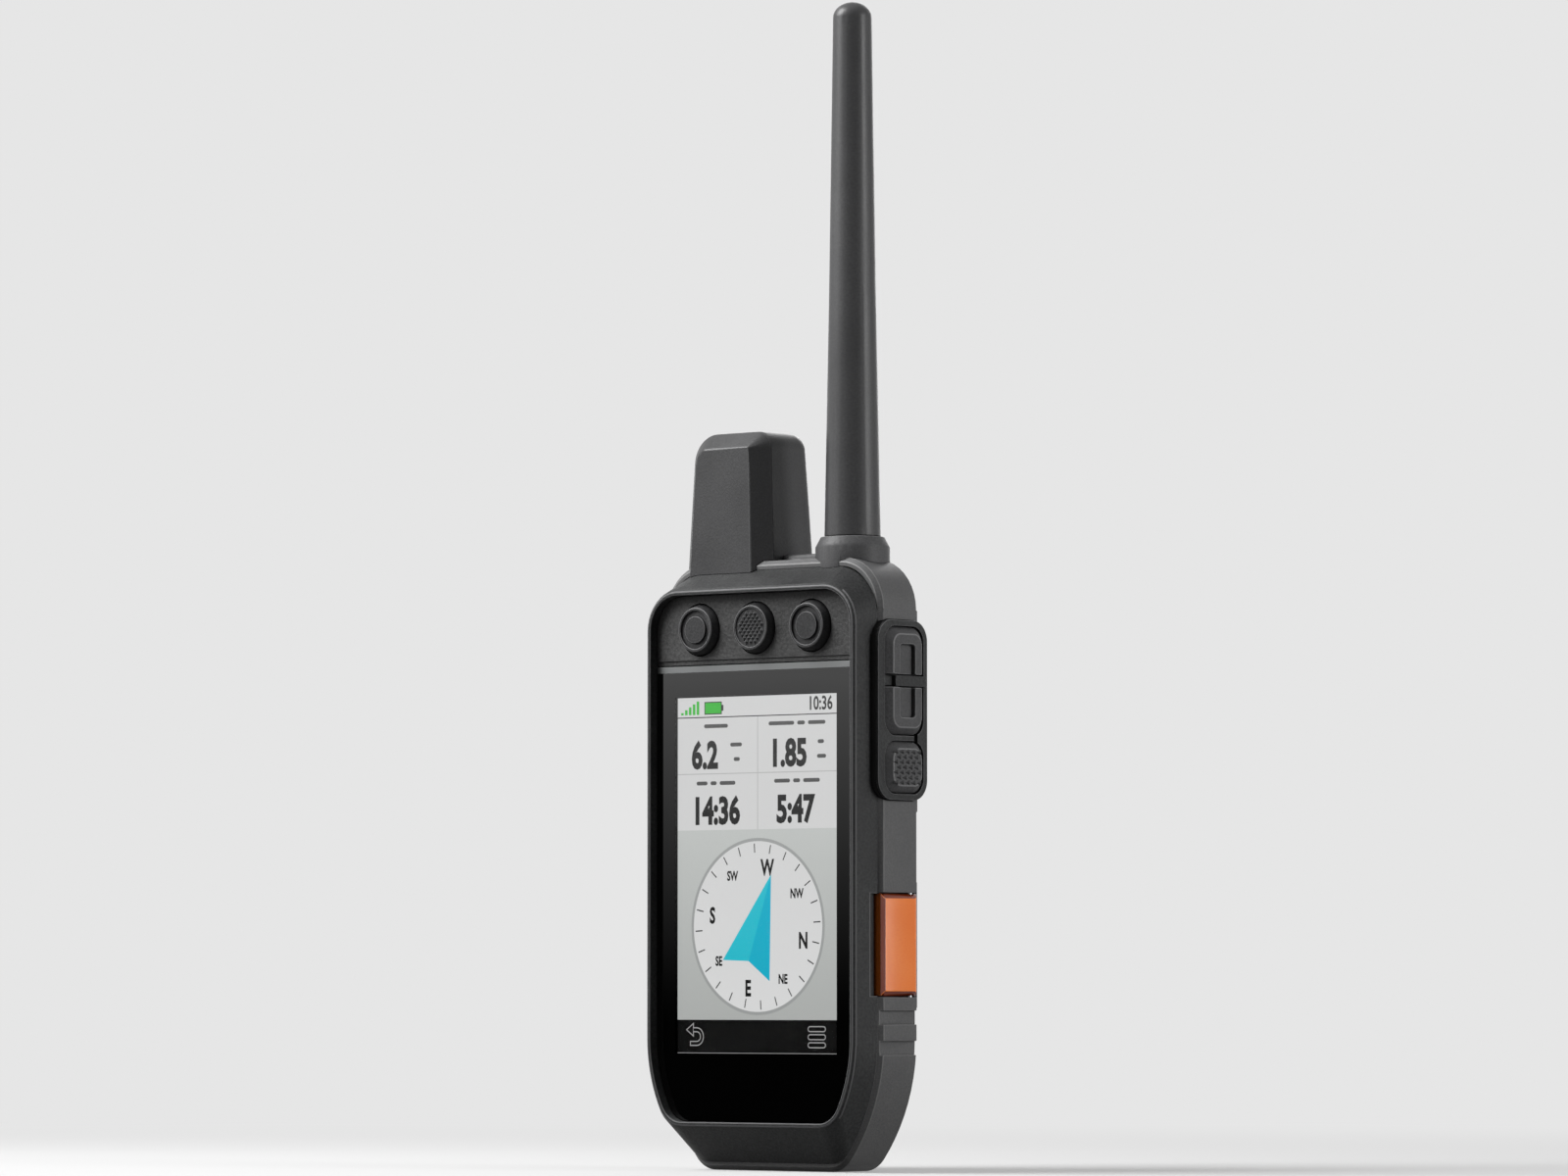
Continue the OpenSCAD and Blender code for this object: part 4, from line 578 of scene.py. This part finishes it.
ink = bmesh.new()
addBar(ink, 0, screenWidth, layout["statusLine"] - half, layout["statusLine"] + half, baseLayer)
for i in range(compass["ticks"]):
    angle = compass["turn"] + 360 * i / compass["ticks"]
    side = compass["tickWide"] / 2
    sideX, sideZ = side * cos(radians(angle)), side * sin(radians(angle))
    inX, inZ = onDial(compass["tickIn"], angle)
    outX, outZ = onDial(compass["tickOut"], angle)
    addPatch(ink, [(inX - sideX, inZ - sideZ), (inX + sideX, inZ + sideZ),
                   (outX + sideX, outZ + sideZ), (outX - sideX, outZ - sideZ)], inkLayer)
winds = ["W", "NW", "N", "NE", "E", "SE", "S", "SW"]
for i, wind in enumerate(winds):
    x, z = onDial(compass["letterR"], compass["turn"] - 360 * i / len(winds))
    high = compass["letterMm"] if len(wind) == 1 else compass["smallMm"]
    addText(ink, wind, x, z - high / 2, high, compass)

# Clock and figures: middle or right end, and foot
clock = {"words": "10:36", "x": 45.2, "z": 75.0, "high": 3.2, "squeeze": 0.78, "weight": 0.022}
addText(ink, clock["words"], clock["x"], clock["z"], clock["high"], clock, align="RIGHT")
figures = {"high": 6.6, "squeeze": 0.78, "weight": 0.042, "cells": [
    ("6.2", 8.0, 62.9), ("1.85", 32.4, 63.0), ("14:36", 11.3, 50.6), ("5:47", 34.4, 50.7)]}
for words, x, z in figures["cells"]:
    addText(ink, words, x, z, figures["high"], figures)

# Battery mark: a dark case with its cap
battery = {"x0": 7.9, "x1": 13.0, "z0": 74.6, "z1": 77.4, "rim": 0.22, "capX": 0.45, "capZ": 1.3}
addBar(ink, battery["x0"], battery["x1"], battery["z0"], battery["z1"], baseLayer)
capMiddle = (battery["z0"] + battery["z1"]) / 2
addBar(ink, battery["x1"], battery["x1"] + battery["capX"], capMiddle - battery["capZ"] / 2,
       capMiddle + battery["capZ"] / 2, baseLayer)
bmesh.ops.recalc_face_normals(ink, faces=ink.faces)
litPiece("screenInk", ink, "darkScreenInk", "#101010", "#161616")

# Short plain bars above and beside the figures: middle and foot of each row, and its bars' widths
plainBars = {"high": 0.85, "gap": 0.9, "rows": [
    (11.3, 71.6, (7.0,)), (34.9, 71.8, (7.4, 2.2, 5.0)), (11.3, 59.0, (3.2, 1.8, 4.6)),
    (34.9, 59.2, (4.6, 2.0, 4.8)), (17.2, 67.4, (3.4,)), (17.4, 64.2, (1.8,)), (41.8, 67.6, (1.8,)),
    (42.0, 64.4, (2.6,))]}
bars = bmesh.new()
for x, z, widths in plainBars["rows"]:
    start = x - (sum(widths) + plainBars["gap"] * (len(widths) - 1)) / 2
    for wide in widths:
        addRoundBar(bars, start, start + wide, z, z + plainBars["high"], inkLayer)
        start += wide + plainBars["gap"]
litPiece("captionBars", bars, "litCaptionGrey", "#4a4a4a", "#505050")

# Green marks: the inside of the battery mark, and the signal bars
green = bmesh.new()
rim = battery["rim"]
addBar(green, battery["x0"] + rim, battery["x1"] - rim, battery["z0"] + rim, battery["z1"] - rim, inkLayer)
signal = {"x": 1.0, "z": 74.6, "bars": 5, "pitch": 1.15, "wide": 0.75, "step": 0.62, "first": 0.8}
for i in range(signal["bars"]):
    x = signal["x"] + i * signal["pitch"]
    top = signal["z"] + signal["step"] * (i + signal["first"])
    addBar(green, x, x + signal["wide"], signal["z"], top, inkLayer)
litPiece("statusMarks", green, "litGreen", "#35a835", "#35b235")


def arrowPoint(x, z):
    a = radians(compass["arrowTurn"])
    return compass["x"] + x * cos(a) - z * sin(a), compass["z"] + x * sin(a) + z * cos(a)


arrowHalves = [("arrowLight", -1, "#24b6c8", "#28c4d4"), ("arrowDark", 1, "#0eaac6", "#12b2cd")]
for name, wing, low, high in arrowHalves:
    arrow = bmesh.new()
    corners = [(0, compass["arrowTip"]), (0, compass["arrowNotch"]),
               (wing * compass["arrowWing"], compass["arrowFoot"])]
    addPatch(arrow, [arrowPoint(x, z) for x, z in corners], topLayer)
    bmesh.ops.recalc_face_normals(arrow, faces=arrow.faces)
    litPiece(name, arrow, name + "Cyan", low, high)

# Icons of the menu bar: an outlined return arrow and three outlined bars. tipGrow and headGrow keep the
# outline of the arrow's head about as wide as that of its stem.
icons = {"hookX": 5.7, "hookR": 1.5, "hookSteps": 10, "stem": 0.55, "upRun": 1.0, "lowRun": 2.0,
         "headTip": 3.2, "headFoot": 0.9, "headHalf": 1.6, "tipGrow": 1.6, "headGrow": 1.9,
         "menuX": 40.6, "z": 3.65, "line": 0.22, "wide": 5.2, "high": 1.3, "pitch": 1.75}


def addHook(mesh, grow, layer):
    x, z, r, stem = icons["hookX"], icons["z"], icons["hookR"], icons["stem"] + grow
    turns = [radians(90 - 180 * i / icons["hookSteps"]) for i in range(icons["hookSteps"] + 1)]
    outer = [(x + (r + stem) * cos(a), z + (r + stem) * sin(a)) for a in turns]
    inner = [(x + (r - stem) * cos(a), z + (r - stem) * sin(a)) for a in reversed(turns)]
    addPatch(mesh, outer + inner, layer)
    addBar(mesh, x - icons["upRun"], x, z + r - stem, z + r + stem, layer)
    addBar(mesh, x - icons["lowRun"] - grow, x, z - r - stem, z - r + stem, layer)
    tip, foot = x - icons["headTip"] - icons["tipGrow"] * grow, x - icons["headFoot"] + grow
    reach = icons["headHalf"] + icons["headGrow"] * grow
    addPatch(mesh, [(tip, z + r), (foot, z + r - reach), (foot, z + r + reach)], layer)


iconParts = [("iconLines", 0, lineLayer, "#a4a4a4"), ("iconFills", -icons["line"], baseLayer, "#070707")]
for name, grow, layer, colour in iconParts:
    marks = bmesh.new()
    addHook(marks, grow, layer)
    for i in (-1, 0, 1):
        z = icons["z"] + i * icons["pitch"]
        reach = icons["wide"] / 2 + grow
        addRoundBar(marks, icons["menuX"] - reach, icons["menuX"] + reach, z - icons["high"] / 2 - grow,
                    z + icons["high"] / 2 + grow, layer)
    if grow == 0:
        addBar(marks, 0, screenWidth, 0, icons["line"] / 2, layer)  # thin line along the screen's foot
    bmesh.ops.recalc_face_normals(marks, faces=marks.faces)
    litPiece(name, marks, name + "Lit", colour, colour)
print("display drawn")

# Display module behind the lit layers
module = bmesh.new()
lcdFront = glassHigh.y + mm(display["gapMm"])
bmesh.ops.create_cube(module, size=1, matrix=Matrix.Translation((
    (lcdLow.x + lcdHigh.x) / 2, (lcdFront + lcdHigh.y) / 2, (lcdLow.z + lcdHigh.z) / 2))
    @ Matrix.Diagonal((lcdHigh.x - lcdLow.x, lcdHigh.y - lcdFront, lcdHigh.z - lcdLow.z, 1)))
bmesh.ops.bevel(module, geom=module.edges, offset=mm(display["moduleEdgeMm"]), offset_type="OFFSET",
                segments=2, profile=0.5, affect="EDGES", material=-1)
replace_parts(makePiece("displayModule", module, [maskInk], "housing"), "lcd_module")

# Grip of the middle button: a net of small pyramids inside its dish, each filling most of its cell
grip = {"radius": 4.0, "halfWide": 0.62, "halfHigh": 0.76, "high": 0.42, "flat": 0.12, "fill": 0.98,
        "dishDepth": 0.25, "smoothAngle": 10}
buttonLow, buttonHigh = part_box("center_button")
gripMiddle = Vector(((buttonLow.x + buttonHigh.x) / 2, buttonLow.y, (buttonLow.z + buttonHigh.z) / 2))
gripShape = Matrix.Rotation(pi / 2, 4, "X") @ Matrix.Diagonal((grip["halfWide"], grip["halfHigh"], 1, 1))
knurl = bmesh.new()
steps = int(grip["radius"] / grip["halfWide"]) + 1
for i in range(-steps, steps + 1):
    for j in range(-steps, steps + 1):
        x, z = i * grip["halfWide"], j * grip["halfHigh"]
        if (i + j) % 2 or (x * x + z * z) ** 0.5 > grip["radius"] - grip["halfWide"] / 2:
            continue
        place = gripMiddle + mm(x, grip["dishDepth"] - grip["high"] / 2, z)
        bmesh.ops.create_cone(knurl, cap_ends=True, segments=4, radius1=mm(grip["fill"]),
                              radius2=mm(grip["flat"]), depth=mm(grip["high"]),
                              matrix=Matrix.Translation(place) @ gripShape)
makePiece("buttonGrip", knurl, [sideKeyRubber], "center_button", grip["smoothAngle"])

# Grip of the power key: rows of three-sided pyramids, each second row shifted by half a pitch
teeth = {"rows": 7, "columns": 5, "pitchY": 1.95, "pitchZ": 1.12, "radius": 0.86, "high": 0.5, "flat": 0.08,
         "sink": 0.05, "squashZ": 0.8, "stretchY": 1.2, "smoothAngle": 10}
keyLow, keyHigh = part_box("power_key")
teethMiddle = Vector((keyHigh.x, (keyLow.y + keyHigh.y) / 2, (keyLow.z + keyHigh.z) / 2))
toothShape = (Matrix.Rotation(pi / 2, 4, "Y") @ Matrix.Rotation(pi, 4, "Z")
              @ Matrix.Diagonal((teeth["squashZ"], teeth["stretchY"], 1, 1)))
knurl = bmesh.new()
for row in range(teeth["rows"]):
    count = teeth["columns"] - row % 2
    for column in range(count):
        y = (column - (count - 1) / 2) * teeth["pitchY"]
        z = (row - (teeth["rows"] - 1) / 2) * teeth["pitchZ"]
        place = teethMiddle + mm(teeth["high"] / 2 - teeth["sink"], y, z)
        bmesh.ops.create_cone(knurl, cap_ends=True, segments=3, radius1=mm(teeth["radius"]),
                              radius2=mm(teeth["flat"]), depth=mm(teeth["high"]),
                              matrix=Matrix.Translation(place) @ toothShape)
makePiece("powerGrip", knurl, [sideKeyRubber], "power_key", teeth["smoothAngle"])
print("grips made")

# Floor and light

studio = {"background": "#e6e6e6", "floorSize": 12, "ambient": 0.065, "floorMatt": "#c5c5c5",
          "floorBounce": "#282828", "floorShadow": 0.6, "shadowNear": 0.08, "shadowFar": 0.6,
          "lampAimMm": (0, 0, 130)}


# One for what the camera sees, also in a reflection or through glass, and nought for light on the object
def pathShare(tree):
    path = addNode(tree, "ShaderNodeLightPath", {}, {})
    seen = addNode(tree, "ShaderNodeMath", {"operation": "MAXIMUM"}, {
        0: path.outputs["Is Camera Ray"], 1: path.outputs["Is Glossy Ray"]})
    return addNode(tree, "ShaderNodeMath", {"operation": "MAXIMUM"}, {
        0: seen.outputs[0], 1: path.outputs["Is Transmission Ray"]}).outputs[0]


world = bpy.data.worlds.new("paleStudio")
bpy.context.scene.world = world
world.use_nodes = True
world.node_tree.nodes.clear()
worldColour = addNode(world.node_tree, "ShaderNodeMix", {"data_type": "RGBA"}, {
    mixShare: pathShare(world.node_tree), mixFrom: [studio["ambient"]] * 3 + [1],
    mixTo: linear(studio["background"])})
worldLight = addNode(world.node_tree, "ShaderNodeBackground", {}, {"Color": worldColour.outputs[mixOut]})
addNode(world.node_tree, "ShaderNodeOutputWorld", {}, {"Surface": worldLight.outputs[0]})


# Matt floor: near the object it takes the shadow, and further out it runs into the background
def paleFloor():
    material, tree, place = startMaterial("paleMattFloor")
    reach = addNode(tree, "ShaderNodeVectorMath", {"operation": "LENGTH"}, {0: place}).outputs["Value"]
    even = addNode(tree, "ShaderNodeMapRange", {"interpolation_type": "SMOOTHSTEP"}, {
        "Value": reach, "From Min": studio["shadowNear"], "From Max": studio["shadowFar"],
        "To Min": 1 - studio["floorShadow"], "To Max": 1.0})
    seen = pathShare(tree)
    share = addNode(tree, "ShaderNodeMath", {"operation": "MULTIPLY"}, {0: seen, 1: even.outputs[0]})
    colour = addNode(tree, "ShaderNodeMix", {"data_type": "RGBA"}, {
        mixShare: seen, mixFrom: linear(studio["floorBounce"]), mixTo: linear(studio["floorMatt"])})
    matt = addNode(tree, "ShaderNodeBsdfDiffuse", {}, {"Color": colour.outputs[mixOut]})
    plain = addNode(tree, "ShaderNodeEmission", {}, {"Color": linear(studio["background"])})
    both = addNode(tree, "ShaderNodeMixShader", {}, {
        0: share.outputs[0], 1: matt.outputs[0], 2: plain.outputs[0]})
    endMaterial(tree, both)
    return material


# A flat sheet of the studio, one metre square before it is placed
def studioSheet(name, placing, material):
    mesh = bmesh.new()
    bmesh.ops.create_grid(mesh, x_segments=1, y_segments=1, size=0.5, matrix=placing)
    data = bpy.data.meshes.new(name)
    mesh.to_mesh(data)
    mesh.free()
    data.materials.append(material)
    sheet = bpy.data.objects.new(name, data)
    bpy.context.scene.collection.objects.link(sheet)
    return sheet


floor = studioSheet("floor", Matrix.Scale(studio["floorSize"], 4), paleFloor())

# Studio card at the front left that only reflections see: black at its foot and pale further up, so the
# glass runs from black at the chin to grey at the top
card = {"azimuth": -41, "distance": 0.3, "width": 0.5, "height": 0.3, "lowZ": 0.03, "highZ": 0.122,
        "power": 1.75, "strength": 1.4}


def fadingCard():
    material, tree, place = startMaterial("fadingStudioCard")
    height = addNode(tree, "ShaderNodeSeparateXYZ", {}, {0: place}).outputs[2]
    share = addNode(tree, "ShaderNodeMapRange", {}, {
        "Value": height, "From Min": card["lowZ"], "From Max": card["highZ"]})
    fade = addNode(tree, "ShaderNodeMath", {"operation": "POWER"}, {0: share.outputs[0], 1: card["power"]})
    level = addNode(tree, "ShaderNodeMath", {"operation": "MULTIPLY"}, {
        0: fade.outputs[0], 1: card["strength"]})
    endMaterial(tree, addNode(tree, "ShaderNodeEmission", {}, {"Strength": level.outputs[0]}))
    return material


cardTurn = radians(card["azimuth"])
cardPlacing = (Matrix.Translation((sin(cardTurn) * card["distance"], -cos(cardTurn) * card["distance"],
                                   card["height"] / 2))
               @ Matrix.Rotation(cardTurn, 4, "Z") @ Matrix.Rotation(pi / 2, 4, "X")
               @ Matrix.Diagonal((card["width"], card["height"], 1, 1)))
studioCard = studioSheet("studioCard", cardPlacing, fadingCard())
for ray in ("camera", "diffuse", "transmission", "volume_scatter", "shadow"):
    setattr(studioCard, "visible_" + ray, False)


# Stands a lamp or the camera at its angles and distance, turned to what it aims at
def standAt(name, data, aimMm, spot):
    turn, rise = radians(spot["azimuth"]), radians(spot["elevation"])
    back = Vector((sin(turn) * cos(rise), -cos(turn) * cos(rise), sin(rise)))
    thing = bpy.data.objects.new(name, data)
    thing.location = mm(*aimMm) + back * spot["distance"]
    thing.rotation_euler = back.to_track_quat("Z", "Y").to_euler()
    bpy.context.scene.collection.objects.link(thing)
    return thing


softboxes = [  # angles as seen from the object, distances and sizes in metres
    {"name": "frontLeftBox", "azimuth": -45, "elevation": 43, "distance": 0.7,
     "width": 0.38, "height": 0.48, "watts": 11},
    {"name": "rightStrip", "azimuth": 106, "elevation": 8, "distance": 1.2,
     "width": 0.24, "height": 0.9, "watts": 9.5},
    {"name": "rearStrip", "azimuth": 125, "elevation": 4, "distance": 1.2,
     "width": 0.07, "height": 0.5, "watts": 1.4},
    {"name": "topBox", "azimuth": 20, "elevation": 80, "distance": 1.3,
     "width": 0.9, "height": 0.9, "watts": 1.2},
    {"name": "backBox", "azimuth": 212, "elevation": 18, "distance": 1.3,
     "width": 0.8, "height": 0.8, "watts": 7},
]
for box in softboxes:
    light = bpy.data.lights.new(box["name"], "AREA")
    light.shape = "RECTANGLE"
    light.size = box["width"]
    light.size_y = box["height"]
    light.energy = box["watts"]
    standAt(box["name"], light, studio["lampAimMm"], box)

# Camera: low at the right front, a long lens tilted up a little
shot = {"azimuth": 41, "elevation": -3.1, "distance": 1.642, "aimMm": (0.49, -0.75, 128.1), "lens": 171,
        "sensor": 36}
lens = bpy.data.cameras.new("longLens")
lens.lens = shot["lens"]
lens.sensor_width = shot["sensor"]
bpy.context.scene.camera = standAt("camera", lens, shot["aimMm"], shot)
bpy.context.scene.view_settings.view_transform = "Standard"
print("studio set")
